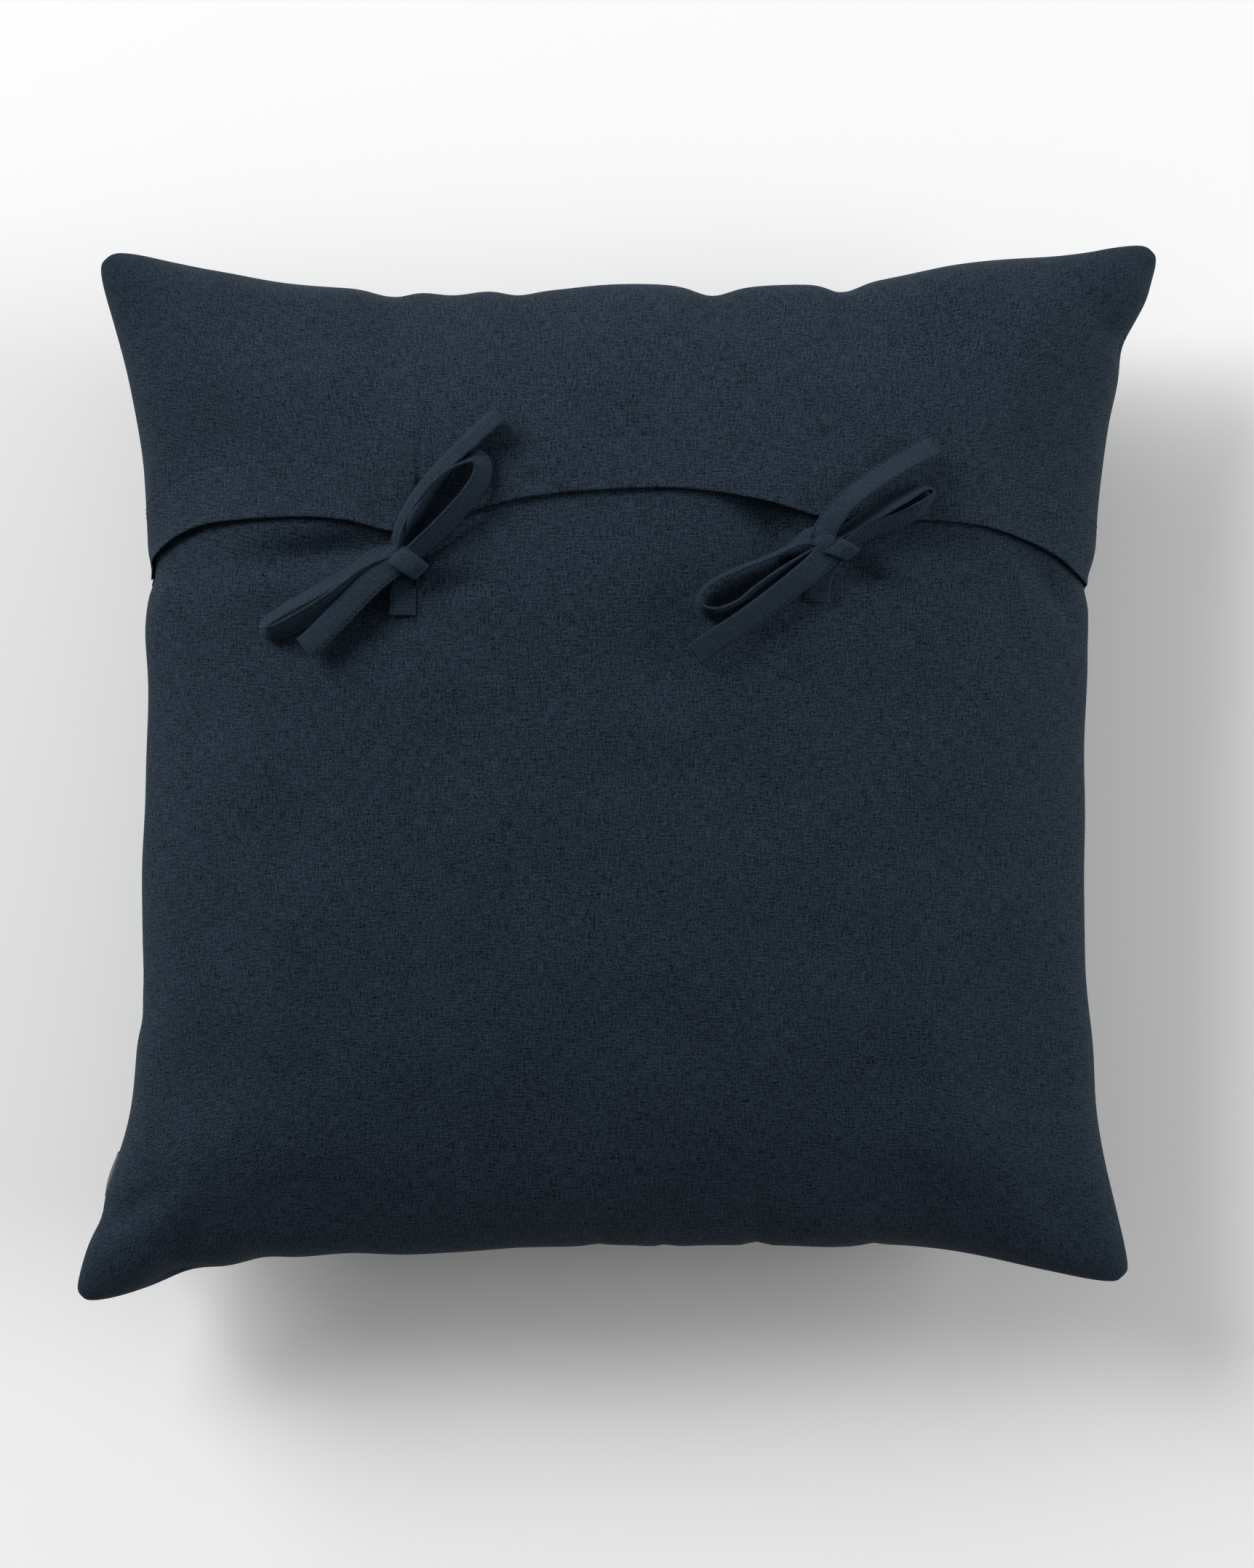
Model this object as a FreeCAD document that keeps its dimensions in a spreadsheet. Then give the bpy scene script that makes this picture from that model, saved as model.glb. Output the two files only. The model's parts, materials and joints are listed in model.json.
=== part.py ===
import FreeCAD, Part
import math
import os

import Sketcher
from FreeCAD import Placement, Rotation, Vector

# A stuffed square cushion cover with an envelope closure that two bows hold shut. It lies on its plain front panel,
# with the closure up. +X and +Y run along its sides, +Z is up, and the origin is the middle of the face it rests on.

DIMENSIONS = {
    # the filled cover
    "corner_span": 582,  # from corner tip to corner tip along one side
    "side_pull": 0.1,  # how far the middle of each side is drawn in, as a share of half the span
    "pull_power": 3,  # how quickly a side falls back from its corners
    "seam_height": 80,  # of the side seam above the floor
    "crown_height": 95,  # of the top above the seam, and of the underside below it before the floor flattens it
    "fullness": 0.92,  # 1 would make the sides stand upright at the seam
    # the layers, by depth below the outer surface of the closure side
    "cloth": 0.8,
    "tie_depth": 2.2,
    "tie_thickness": 2,
    "lower_panel_depth": 4.4,
    "casing_depth": 8.3,
    "filling_depth": 9.4,
    "insert_floor": 1.1,  # the insert's rest face above the floor
    # the mouth
    "edge_at_side": 105,  # the flap's free edge, measured up the cushion from its middle
    "edge_at_shoulder": 134,
    "edge_at_left_tie": 128,
    "edge_at_middle": 151,
    "edge_at_right_tie": 135,
    "shoulder_place": 215,
    "flap_hem": 30,
    "overlap": 90,
    "lower_hem": 15,
    # the ties
    "tie_width": 14,
    "left_tie_place": -111,
    "right_tie_place": 116,
    "knot_drop": 17,  # of each knot's middle below the flap's edge
    "knot_radius": 7.5,
    "knot_height": 14,
    "knot_round": 4,
    "tie_end_rise": 30,  # of the upper ties' sewn ends above the flap's edge
    "tie_end_drop": 45,  # of the lower ties' sewn ends below the flap's edge
    "arm_clearance": 0.8,
    "arm_spread": 4,  # degrees that a loop and a tail each turn away from the line they share
    "arm_offset": 7.4,  # of a loop's or a tail's middle from that line
    "loop_width": 13,
    "loop_throat": 8,
    "loop_stand": 12,  # height of a loop, which stands on its edge
    # the threads
    "thread": 0.6,
    "thread_thickness": 0.4,
    "thread_gap": 0.15,
    "seam_allowance": 6.5,  # of the cover's side seam thread inside the edge
    "box_stitch": 10,
    "stitch_inset": 2,  # of a line of stitches inside the edge of the hem or of the tie it holds
    # the care label
    "label_place": -225,
    "label_width": 24,
    "label_length": 30,
    "label_thickness": 0.6,
    "label_lean": 12,  # degrees out from hanging straight down
    "label_gap": 0.6,
}

# The bows: which way the upper and the lower loop and tail point, and how long each of the four is.
BOWS = {
    "left": {"upper": (52, 62, 93), "lower": (215, 74, 62)},
    "right": {"upper": (31, 58, 74), "lower": (211, 65, 88)},
}

GRID = 16  # spans of the crowned surfaces each way
STITCH_SPANS = 40  # spans of a stitched line that crosses the cushion
REFINEMENTS = 20  # rounds that bring a surface place near enough to the exact one
TALL = 400  # taller and deeper than the cushion, for cutting tools

doc = FreeCAD.newDocument("FloorCushion")
sheet = doc.addObject("Spreadsheet::Sheet", "Dims")


def fill_sheet():
    """Each driving dimension in a cell of its own, under its name."""
    for row, (name, value) in enumerate(DIMENSIONS.items(), start=1):
        sheet.set(f"A{row}", name)
        sheet.set(f"B{row}", str(value))
        sheet.setAlias(f"B{row}", name)
    doc.recompute()


def size(name):
    return float(getattr(sheet, name))


def crown(turn):
    """The share of the crown's height at a turn from -1 to 1 across the cushion."""
    steepest = math.radians(90) * size("fullness")
    flat = math.cos(steepest)
    return (math.cos(steepest * turn) - flat) / (1 - flat)


def across(turn):
    """The share of the half span at a turn, which crowds the grid towards the steep sides."""
    steepest = math.radians(90) * size("fullness")
    return math.sin(steepest * turn) / math.sin(steepest)


def drawn_in(share):
    """How much of its half span a side keeps at a share of the way to its corner."""
    return 1 - size("side_pull") * (1 - abs(share) ** size("pull_power"))


def form_point(turn_x, turn_y, depth, height):
    """A point of the crowned surface at a depth below the cushion's outer surface."""
    half = size("corner_span") / 2 - depth
    share_x = across(turn_x)
    share_y = across(turn_y)
    return Vector(
        half * share_x * drawn_in(share_y),
        half * share_y * drawn_in(share_x),
        size("seam_height") + height * crown(turn_x) * crown(turn_y),
    )


def dome(depth, height):
    """The solid between the seam plane and one crowned surface, up for a height above 0 and down for one below."""
    turns = [2 * i / GRID - 1 for i in range(GRID + 1)]
    surface = Part.BSplineSurface()
    surface.interpolate([[form_point(x, y, depth, height) for y in turns] for x in turns])
    crowned = surface.toShape()
    rim = Part.Wire(Part.sortEdges(crowned.OuterWire.Edges)[0])
    solid = Part.Solid(Part.Shell([crowned, Part.Face(rim)]))
    if solid.Volume < 0:
        solid.reverse()
    return solid


def upper_dome(depth):
    return dome(depth, size("crown_height") - depth)


def lower_dome(depth, floor):
    """The lower half, flattened by the floor it lies on."""
    below = Part.makeBox(2 * TALL, 2 * TALL, TALL, Vector(-TALL, -TALL, floor - TALL))
    return dome(depth, depth - size("crown_height")).cut(below)


def mouth_edge(shift):
    """The flap's free edge, moved up the cushion by a shift."""
    reach = size("corner_span") / 2
    places = [
        (-reach, "edge_at_side"),
        (-size("shoulder_place"), "edge_at_shoulder"),
        (size("left_tie_place"), "edge_at_left_tie"),
        (0, "edge_at_middle"),
        (size("right_tie_place"), "edge_at_right_tie"),
        (size("shoulder_place"), "edge_at_shoulder"),
        (reach, "edge_at_side"),
    ]
    curve = Part.BSplineCurve()
    curve.interpolate([Vector(x, size(name) + shift, 0) for x, name in places])
    return curve.toShape()


def above_edge(shift):
    """Everything on the far side of the flap's edge moved by a shift, as a cutting tool."""
    edge = mouth_edge(shift)
    start = edge.firstVertex().Point
    end = edge.lastVertex().Point
    corners = [end, Vector(end.x, TALL, 0), Vector(start.x, TALL, 0), start]
    sides = [Part.makeLine(a, b) for a, b in zip(corners, corners[1:])]
    return Part.Face(Part.Wire([edge] + sides)).extrude(Vector(0, 0, TALL))


def block(x_low, x_high, y_low, y_high):
    """A tall upright block, as a cutting tool."""
    return Part.makeBox(x_high - x_low, y_high - y_low, TALL, Vector(x_low, y_low, 0))


def layer(outer, inner, region):
    """The part of a crowned layer of the closure side, between two depths, that lies in an upright region."""
    return upper_dome(outer).common(region).cut(upper_dome(inner))


def seam_outline(depth):
    """The seam's outline, drawn in by a depth, a little below the seam plane."""
    turns = [2 * i / GRID - 1 for i in range(GRID + 1)]
    side = Part.BSplineCurve()
    side.interpolate([form_point(1, turn, depth, 0) for turn in turns])
    edge = side.toShape().translated(Vector(0, 0, -size("thread_thickness")))
    return Part.Wire([edge.rotated(Vector(), Vector(0, 0, 1), quarter) for quarter in (0, 90, 180, 270)])


def rim_ring(outer, inner):
    """A thread that runs all round, just below the seam plane."""
    ring = Part.Face(seam_outline(outer)).cut(Part.Face(seam_outline(inner)))
    return ring.extrude(Vector(0, 0, -size("thread"))).Solids[0]


def soft_piece(name, shape):
    """One sewn piece as an object of the document. Its shape may be one solid or a few alike."""
    piece = doc.addObject("Part::Feature", name)
    piece.Label = name
    piece.Shape = shape
    piece.Placement = Placement()
    return piece


def front_panel():
    cloth = size("cloth")
    return soft_piece("front_panel", lower_dome(0, 0).cut(lower_dome(cloth, cloth)))


def back_upper_panel():
    """The flap: one layer of cloth, and two where its free edge is turned under as a hem."""
    cloth = size("cloth")
    flap = upper_dome(0).common(above_edge(0)).cut(upper_dome(2 * cloth))
    past_hem = upper_dome(cloth).common(above_edge(size("flap_hem")))
    return soft_piece("back_upper_panel", flap.cut(past_hem))


def back_lower_panel():
    """The panel under the flap: it runs on past the flap's edge and ends in a narrow hem."""
    cloth = size("cloth")
    depth = size("lower_panel_depth")
    panel = upper_dome(depth).cut(above_edge(size("overlap"))).cut(upper_dome(depth + 2 * cloth))
    before_hem = upper_dome(depth + cloth).cut(above_edge(size("overlap") - size("lower_hem")))
    return soft_piece("back_lower_panel", panel.cut(before_hem))


def casing_top():
    depth = size("casing_depth")
    return soft_piece("casing_top", upper_dome(depth).cut(upper_dome(depth + size("cloth"))))


def casing_bottom():
    depth = size("casing_depth")
    floor = size("insert_floor")
    inner = lower_dome(depth + size("cloth"), floor + size("cloth"))
    return soft_piece("casing_bottom", lower_dome(depth, floor).cut(inner))


def filling():
    depth = size("filling_depth")
    floor = size("insert_floor") + depth - size("casing_depth")
    whole = upper_dome(depth).fuse(lower_dome(depth, floor)).removeSplitter()
    return soft_piece("filling", whole.Solids[0])


def edge_at(side):
    return size(f"edge_at_{side}_tie")


def tie_end(side, level):
    """The flat part of a tie from its sewn end to the knot it runs under."""
    middle = size(f"{side}_tie_place")
    half = size("tie_width") / 2
    knot = edge_at(side) - size("knot_drop")
    meeting = size("arm_clearance") / 2
    if level == "upper":
        span = (knot + meeting, edge_at(side) + size("tie_end_rise"))
    else:
        span = (edge_at(side) - size("tie_end_drop"), knot - meeting)
    depth = size("tie_depth")
    strip = layer(depth, depth + size("tie_thickness"), block(middle - half, middle + half, *span))
    return soft_piece(f"{side}_{level}_tie_end", strip)


def box_stitching(name, spans):
    """Square runs of thread that hold tie ends, one for each tie, on top of the ties."""
    deep = size("tie_depth") - size("thread_gap") / 2
    half = size("box_stitch") / 2
    wall = size("thread")
    squares = []
    for middle, low in spans:
        outer = block(middle - half, middle + half, low, low + 2 * half)
        inner = block(middle - half + wall, middle + half - wall, low + wall, low + 2 * half - wall)
        squares.append(layer(deep - size("thread_thickness"), deep, outer.cut(inner)))
    return soft_piece(name, Part.makeCompound([s for square in squares for s in square.Solids]))


def upper_tie_stitching():
    low = size("tie_end_rise") - size("box_stitch") - size("stitch_inset")
    spans = [(size(f"{side}_tie_place"), edge_at(side) + low) for side in BOWS]
    return box_stitching("upper_tie_stitching", spans)


def lower_tie_stitching():
    low = size("stitch_inset") - size("tie_end_drop")
    spans = [(size(f"{side}_tie_place"), edge_at(side) + low) for side in BOWS]
    return box_stitching("lower_tie_stitching", spans)


def hem_stitching(name, shift, inner):
    """A line of thread along a hem, lying on the layer of cloth whose outer surface is at a depth."""
    deep = inner - size("thread_gap")
    shallow = deep - size("thread_thickness")
    reach = size("corner_span") / 2 * (1 - size("side_pull")) - 2 * size("thread")
    line = mouth_edge(shift)
    places = [reach * (2 * i / STITCH_SPANS - 1) for i in range(STITCH_SPANS + 1)]
    curves = []
    for back, depth in ((0, shallow), (size("thread"), shallow), (size("thread"), deep), (0, deep)):
        curve = Part.BSplineCurve()
        curve.interpolate([on_surface(x, y_on(line, x) + back, depth) for x in places])
        curves.append(curve.toShape())
    faces = [Part.makeRuledSurface(a, b) for a, b in zip(curves, curves[1:] + curves[:1])]
    for end in ("firstVertex", "lastVertex"):
        corners = [getattr(curve, end)().Point for curve in curves]
        faces.append(Part.makeRuledSurface(Part.makeLine(*corners[:2]), Part.makeLine(*corners[:1:-1])))
    shell = Part.makeShell(faces)
    shell.sewShape()
    solid = Part.Solid(shell)
    if solid.Volume < 0:
        solid.reverse()
    return soft_piece(name, solid)


def y_on(line, x):
    """How far up the cushion a line that crosses it runs at a place."""
    upright = Part.makeLine(Vector(x, -TALL, 0), Vector(x, TALL, 0))
    return line.distToShape(upright)[1][0][0].y


def flap_hem_stitching():
    return hem_stitching("flap_hem_stitching", size("flap_hem") - size("stitch_inset"), 0)


def lower_hem_stitching():
    shift = size("overlap") - size("lower_hem") + size("stitch_inset")
    return hem_stitching("lower_hem_stitching", shift, size("lower_panel_depth"))


def side_seam_thread():
    outer = size("seam_allowance")
    return soft_piece("side_seam_thread", rim_ring(outer, outer + size("thread")))


def insert_seam_thread():
    inner = size("casing_depth") - size("thread_thickness")
    return soft_piece("insert_seam_thread", rim_ring(inner - size("thread"), inner))


def turns_at(x, y, depth):
    """The two turns whose surface point lies over a place."""
    half = size("corner_span") / 2 - depth
    steepest = math.radians(90) * size("fullness")
    share_x = x / half
    share_y = y / half
    for _ in range(REFINEMENTS):
        share_x = x / half / drawn_in(share_y)
        share_y = y / half / drawn_in(share_x)
    return [math.asin(share * math.sin(steepest)) / steepest for share in (share_x, share_y)]


def on_surface(x, y, depth):
    """The point of the closure side over a place, at a depth."""
    turn_x, turn_y = turns_at(x, y, depth)
    return form_point(turn_x, turn_y, depth, size("crown_height") - depth)


def bow_frame(side):
    """Where a bow sits: on the ties' outer surface, level with it, with its x and y along the cushion's."""
    x = size(f"{side}_tie_place")
    y = edge_at(side) - size("knot_drop")
    depth = size("tie_depth")
    middle = on_surface(x, y, depth)
    along_x = on_surface(x + 1, y, depth) - on_surface(x - 1, y, depth)
    along_y = on_surface(x, y + 1, depth) - on_surface(x, y - 1, depth)
    normal = along_x.cross(along_y)
    return Placement(middle, Rotation(along_x, Vector(), normal, "ZXY"))


def arm_frame(side, level, arm):
    """Where a loop or a tail starts: its x runs out from the knot, and its z stands away from the cushion."""
    direction = BOWS[side][level][0]
    way = 1 if arm == "tail" else -1
    lift = size("arm_clearance")
    if level == "upper":
        lift += size("tie_depth")
    start = Vector(size("knot_radius") + size("arm_clearance"), way * size("arm_offset"), lift)
    line = Placement(Vector(), Rotation(Vector(0, 0, 1), direction))
    spread = Placement(start, Rotation(Vector(0, 0, 1), way * size("arm_spread")))
    return bow_frame(side).multiply(line).multiply(spread)


def plane(body, role):
    """One of a body's own origin planes."""
    return next(f for f in body.Origin.OriginFeatures if f.Role == role)


def sketch_on(body, role, name):
    sketch = body.newObject("Sketcher::SketchObject", name)
    sketch.AttachmentSupport = [(plane(body, role), "")]
    sketch.MapMode = "FlatFace"
    return sketch


def bind(sketch, kind, places, value, expression):
    """A measured constraint, tied to the sheet."""
    index = sketch.addConstraint(Sketcher.Constraint(kind, *places, value))
    sketch.setExpression(f"Constraints[{index}]", expression)


def new_body(name):
    body = doc.addObject("PartDesign::Body", name)
    body.Label = name
    return body


def pad(body, sketch, name, length_name):
    feature = body.newObject("PartDesign::Pad", name)
    feature.Profile = sketch
    feature.setExpression("Length", f"Dims.{length_name}")
    sketch.Visibility = False
    return feature


def tail(side, level):
    """A flat strip with a slanted cut end."""
    name = f"{side}_{level}_tail"
    length = BOWS[side][level][2]
    half = size("tie_width") / 2
    slant = half / 2
    body = new_body(name)
    sketch = sketch_on(body, "XY_Plane", f"{name}_outline")
    corners = [
        Vector(0, -half, 0),
        Vector(length - slant, -half, 0),
        Vector(length, half, 0),
        Vector(0, half, 0),
    ]
    for a, b in zip(corners, corners[1:] + corners[:1]):
        sketch.addGeometry(Part.LineSegment(a, b), False)
    for line in range(4):
        sketch.addConstraint(Sketcher.Constraint("Coincident", line, 2, (line + 1) % 4, 1))
    bind(sketch, "DistanceX", (-1, 1, 0, 1), 0, "0")
    bind(sketch, "DistanceY", (0, 1, -1, 1), half, "Dims.tie_width / 2")
    sketch.addConstraint(Sketcher.Constraint("Horizontal", 0))
    sketch.addConstraint(Sketcher.Constraint("Horizontal", 2))
    sketch.addConstraint(Sketcher.Constraint("Vertical", 3))
    bind(sketch, "DistanceY", (-1, 1, 3, 1), half, "Dims.tie_width / 2")
    bind(sketch, "DistanceX", (3, 1, 1, 2), length, f"Dims.{name}_length")
    bind(sketch, "DistanceX", (0, 2, 1, 2), slant, "Dims.tie_width / 4")
    pad(body, sketch, f"{name}_strip", "tie_thickness")
    body.Placement = arm_frame(side, level, "tail")
    return body


def teardrop(sketch, near, far, length, wall):
    """A closed outline round a small circle at the knot and a larger one at the tip, drawn in by a wall."""
    near_x = near
    far_x = length - far
    lean = math.asin((far - near) / (far_x - near_x))
    small = near - wall
    large = far - wall
    first = sketch.GeometryCount
    axis = Vector(0, 0, 1)
    touch = math.pi / 2 + lean
    ends = [
        (Vector(near_x + small * math.cos(touch), sign * small * math.sin(touch), 0),
         Vector(far_x + large * math.cos(touch), sign * large * math.sin(touch), 0))
        for sign in (1, -1)
    ]
    near_arc = Part.ArcOfCircle(Part.Circle(Vector(near_x, 0, 0), axis, small), touch, 2 * math.pi - touch)
    far_arc = Part.ArcOfCircle(Part.Circle(Vector(far_x, 0, 0), axis, large), -touch, touch)
    sketch.addGeometry(near_arc, False)
    sketch.addGeometry(Part.LineSegment(ends[1][0], ends[1][1]), False)
    sketch.addGeometry(far_arc, False)
    sketch.addGeometry(Part.LineSegment(ends[0][1], ends[0][0]), False)
    joints = [(0, 2, 1, 1), (1, 2, 2, 1), (2, 2, 3, 1), (3, 2, 0, 1)]
    for a, a_end, b, b_end in joints:
        sketch.addConstraint(Sketcher.Constraint("Tangent", first + a, a_end, first + b, b_end))
    return first


def loop(side, level):
    """A strip that stands on its edge, runs out from the knot, turns and comes back."""
    name = f"{side}_{level}_loop"
    length = BOWS[side][level][1]
    near = size("loop_throat") / 2
    far = size("loop_width") / 2
    wall = size("tie_thickness")
    body = new_body(name)
    sketch = sketch_on(body, "XY_Plane", f"{name}_outline")
    for thin, take in ((0, ""), (wall, " - Dims.tie_thickness")):
        first = teardrop(sketch, near, far, length, thin)
        bind(sketch, "Radius", (first,), near - thin, f"Dims.loop_throat / 2{take}")
        bind(sketch, "Radius", (first + 2,), far - thin, f"Dims.loop_width / 2{take}")
        sketch.addConstraint(Sketcher.Constraint("PointOnObject", first, 3, -1))
        sketch.addConstraint(Sketcher.Constraint("PointOnObject", first + 2, 3, -1))
        bind(sketch, "DistanceX", (-1, 1, first, 3), near, "Dims.loop_throat / 2")
        bind(sketch, "DistanceX", (-1, 1, first + 2, 3), length - far, f"Dims.{name}_length - Dims.loop_width / 2")
    pad(body, sketch, f"{name}_strip", "loop_stand")
    round_inner_end(body, name)
    body.Placement = arm_frame(side, level, "loop")
    return body


def round_inner_end(body, name):
    """The strip narrows to a half round where it enters the knot, so it can swing up there."""
    stand = size("loop_stand")
    half = stand / 2
    sketch = sketch_on(body, "XZ_Plane", f"{name}_inner_end")
    for low, high, arc_start in ((0, half, math.pi), (stand, half, math.pi / 2)):
        first = sketch.GeometryCount
        circle = Part.Circle(Vector(half, half, 0), Vector(0, 0, 1), half)
        sketch.addGeometry(Part.ArcOfCircle(circle, arc_start, arc_start + math.pi / 2), False)
        sketch.addGeometry(Part.LineSegment(Vector(0, high, 0), Vector(0, low, 0)), False)
        sketch.addGeometry(Part.LineSegment(Vector(0, low, 0), Vector(half, low, 0)), False)
        side_end, level_end = (1, 2) if arc_start == math.pi else (2, 1)
        sketch.addConstraint(Sketcher.Constraint("Coincident", first, side_end, first + 1, 1))
        sketch.addConstraint(Sketcher.Constraint("Coincident", first + 1, 2, first + 2, 1))
        sketch.addConstraint(Sketcher.Constraint("Coincident", first + 2, 2, first, level_end))
        sketch.addConstraint(Sketcher.Constraint("Vertical", first + 1))
        sketch.addConstraint(Sketcher.Constraint("Horizontal", first + 2))
        bind(sketch, "Radius", (first,), half, "Dims.loop_stand / 2")
        bind(sketch, "DistanceX", (-1, 1, first, 3), half, "Dims.loop_stand / 2")
        bind(sketch, "DistanceY", (-1, 1, first, 3), half, "Dims.loop_stand / 2")
    doc.recompute()
    before = body.Shape.Volume
    pocket = body.newObject("PartDesign::Pocket", f"{name}_rounding")
    pocket.Profile = sketch
    pocket.Type = "ThroughAll"
    pocket.Midplane = True
    sketch.Visibility = False
    doc.recompute()
    if body.Shape.Volume >= before:
        raise RuntimeError(f"{name}_rounding took nothing away")


def knot(side):
    """The wrapped lump that the two ties of a pair make."""
    name = f"{side}_knot"
    lump = doc.addObject("Part::Cylinder", f"{name}_lump")
    lump.setExpression("Radius", "Dims.knot_radius")
    lump.setExpression("Height", "Dims.knot_height")
    doc.recompute()
    rounded = doc.addObject("Part::Fillet", name)
    rounded.Label = name
    rounded.Base = lump
    radius = size("knot_round")
    rings = [i for i, edge in enumerate(lump.Shape.Edges, start=1) if edge.isClosed() and edge.Length > radius]
    top = max(rings, key=lambda i: lump.Shape.Edges[i - 1].BoundBox.ZMax)
    rounded.Edges = [(top, radius, radius)]
    rounded.Placement = bow_frame(side).multiply(Placement(Vector(0, 0, size("arm_clearance") / 2), Rotation()))
    return rounded


def care_label():
    """A blank folded label that hangs from the left side seam."""
    label = doc.addObject("Part::Box", "care_label")
    label.Label = "care_label"
    label.setExpression("Length", "Dims.label_thickness")
    label.setExpression("Width", "Dims.label_width")
    label.setExpression("Height", "Dims.label_length")
    middle = size("label_place")
    half_width = size("label_width") / 2
    half_span = size("corner_span") / 2
    furthest_out = half_span * drawn_in((middle - half_width) / half_span)
    start = -furthest_out - size("label_thickness") - size("label_gap")
    hung = Vector(start, middle - half_width, size("seam_height"))
    turn = Rotation(Vector(0, 1, 0), size("label_lean"))
    below = Placement(Vector(0, 0, -size("label_length")), Rotation())
    label.Placement = Placement(hung, turn).multiply(below)
    return label


def add_arm_lengths():
    """Each loop's and tail's length, in the sheet beside the other dimensions."""
    for side, levels in BOWS.items():
        for level, (_, loop_length, tail_length) in levels.items():
            DIMENSIONS[f"{side}_{level}_loop_length"] = loop_length
            DIMENSIONS[f"{side}_{level}_tail_length"] = tail_length


add_arm_lengths()
fill_sheet()
pieces = [
    front_panel(),
    back_upper_panel(),
    back_lower_panel(),
    casing_top(),
    casing_bottom(),
    filling(),
    flap_hem_stitching(),
    lower_hem_stitching(),
    upper_tie_stitching(),
    lower_tie_stitching(),
    side_seam_thread(),
    insert_seam_thread(),
    care_label(),
]
for side in BOWS:
    pieces.append(knot(side))
    for level in ("upper", "lower"):
        pieces.append(tie_end(side, level))
        pieces.append(loop(side, level))
        pieces.append(tail(side, level))
doc.recompute()

for item in doc.Objects:
    if "Invalid" in item.State or "Error" in item.State:
        raise RuntimeError(f"{item.Name} failed: {item.State}")
for piece in pieces:
    if piece.Shape.isNull() or not piece.Shape.isValid():
        raise RuntimeError(f"{piece.Label} has no valid shape")

os.makedirs("parts", exist_ok=True)
for piece in pieces:
    piece.Shape.exportStep(f"parts/{piece.Label}.step")
    box = piece.Shape.optimalBoundingBox()
    print(f"{piece.Label:22s} {piece.Shape.Volume:12.1f} mm3, solids {len(piece.Shape.Solids)},"
          f" x {box.XMin:.1f}..{box.XMax:.1f}, y {box.YMin:.1f}..{box.YMax:.1f}, z {box.ZMin:.1f}..{box.ZMax:.1f}")
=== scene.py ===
import json
import math

import bpy
import numpy as np
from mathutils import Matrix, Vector


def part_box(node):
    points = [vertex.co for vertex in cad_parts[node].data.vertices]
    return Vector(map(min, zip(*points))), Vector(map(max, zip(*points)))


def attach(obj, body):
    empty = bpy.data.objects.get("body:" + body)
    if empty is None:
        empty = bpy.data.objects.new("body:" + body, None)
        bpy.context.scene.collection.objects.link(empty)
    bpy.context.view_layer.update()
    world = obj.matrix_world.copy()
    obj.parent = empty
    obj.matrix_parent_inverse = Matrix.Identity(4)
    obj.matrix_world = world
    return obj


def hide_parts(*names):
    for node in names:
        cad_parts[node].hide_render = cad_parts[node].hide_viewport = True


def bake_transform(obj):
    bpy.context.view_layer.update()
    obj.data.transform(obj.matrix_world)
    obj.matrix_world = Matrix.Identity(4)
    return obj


# A floor cushion seen from straight above, with its closure up. Metres, in the frame of the CAD.

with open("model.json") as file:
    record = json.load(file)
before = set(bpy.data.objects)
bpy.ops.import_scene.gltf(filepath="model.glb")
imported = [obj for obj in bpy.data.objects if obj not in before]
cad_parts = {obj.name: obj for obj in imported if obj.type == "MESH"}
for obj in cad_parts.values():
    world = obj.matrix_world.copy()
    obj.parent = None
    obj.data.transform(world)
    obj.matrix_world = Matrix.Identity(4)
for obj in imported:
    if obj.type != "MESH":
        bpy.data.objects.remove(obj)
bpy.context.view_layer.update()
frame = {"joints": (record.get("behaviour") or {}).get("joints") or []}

# ---------------- sizes

HALF, _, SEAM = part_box("front_panel")[1]
CROWN = 0.095  # height of the top over the seam
FLAT_CLOTH = 0.6  # side of the cover when it lies flat
METRES = FLAT_CLOTH / 2  # turns a cloth place from -1 to 1 into metres of cloth
MIDDLE_HALF = 0.262  # from the middle of the cushion to the middle of a side
FORM_POWER = 2.3  # 2 would make the section an ellipse, and more makes it boxy
CLOTH = 0.0008
CELLS = 120  # of the cloth grid each way

# How far a side's middle is drawn in, as a share of half the span, and where the ears begin along a side.
SIDE_PULL = 0.108
END_PULL = 0.0805
END_PULL_TILT = -0.0055
EAR_START = 0.61
EAR_SOFTNESS = 0.08

# How the corners sit off the square, because no hand-sewn cushion is true.
SIDE_LEAN = 0.0075
END_LEAN = 0.0037
END_SHRINK = 0.0037
END_TWIST = 0.0017

# The ears' tips: how far their points are rounded off, how steeply, and how far the ears are stretched out.
TIP_ROUND = 0.0075
TIP_POWER = 34
TIP_REACH = 0.0050
TIP_REACH_START = 0.6

FLOOR_SOFTNESS = 0.004  # height over which the underside goes from round to flat

# Notches (+) and bulges (-) of the sides: where along the side, how deep and how wide.
NOTCHES = {
    "top": [(-0.124, 0.0034, 0.014), (-0.090, 0.0036, 0.018), (-0.054, 0.0016, 0.012), (0.0, -0.0030, 0.032),
            (0.052, 0.0026, 0.012), (0.127, 0.0034, 0.011), (0.196, -0.0088, 0.050)],
    "left": [(0.109, 0.0030, 0.008), (0.080, -0.001, 0.020), (-0.120, 0.0032, 0.022), (-0.137, 0.0016, 0.010),
             (-0.190, 0.0015, 0.030), (-0.247, 0.0022, 0.010)],
    "right": [(0.236, 0.0042, 0.016), (0.105, 0.0038, 0.011), (0.040, 0.001, 0.030),
              (-0.165, -0.0048, 0.060)],
    "bottom": [(-0.236, 0.0042, 0.018), (-0.195, 0.0026, 0.015), (-0.110, -0.001, 0.030),
               (0.028, 0.0012, 0.004), (0.078, 0.0012, 0.005), (0.142, 0.0010, 0.005)],
}
NOTCH_REACH = 0.040

UP = np.array([0, 0, 1.0])

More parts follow.
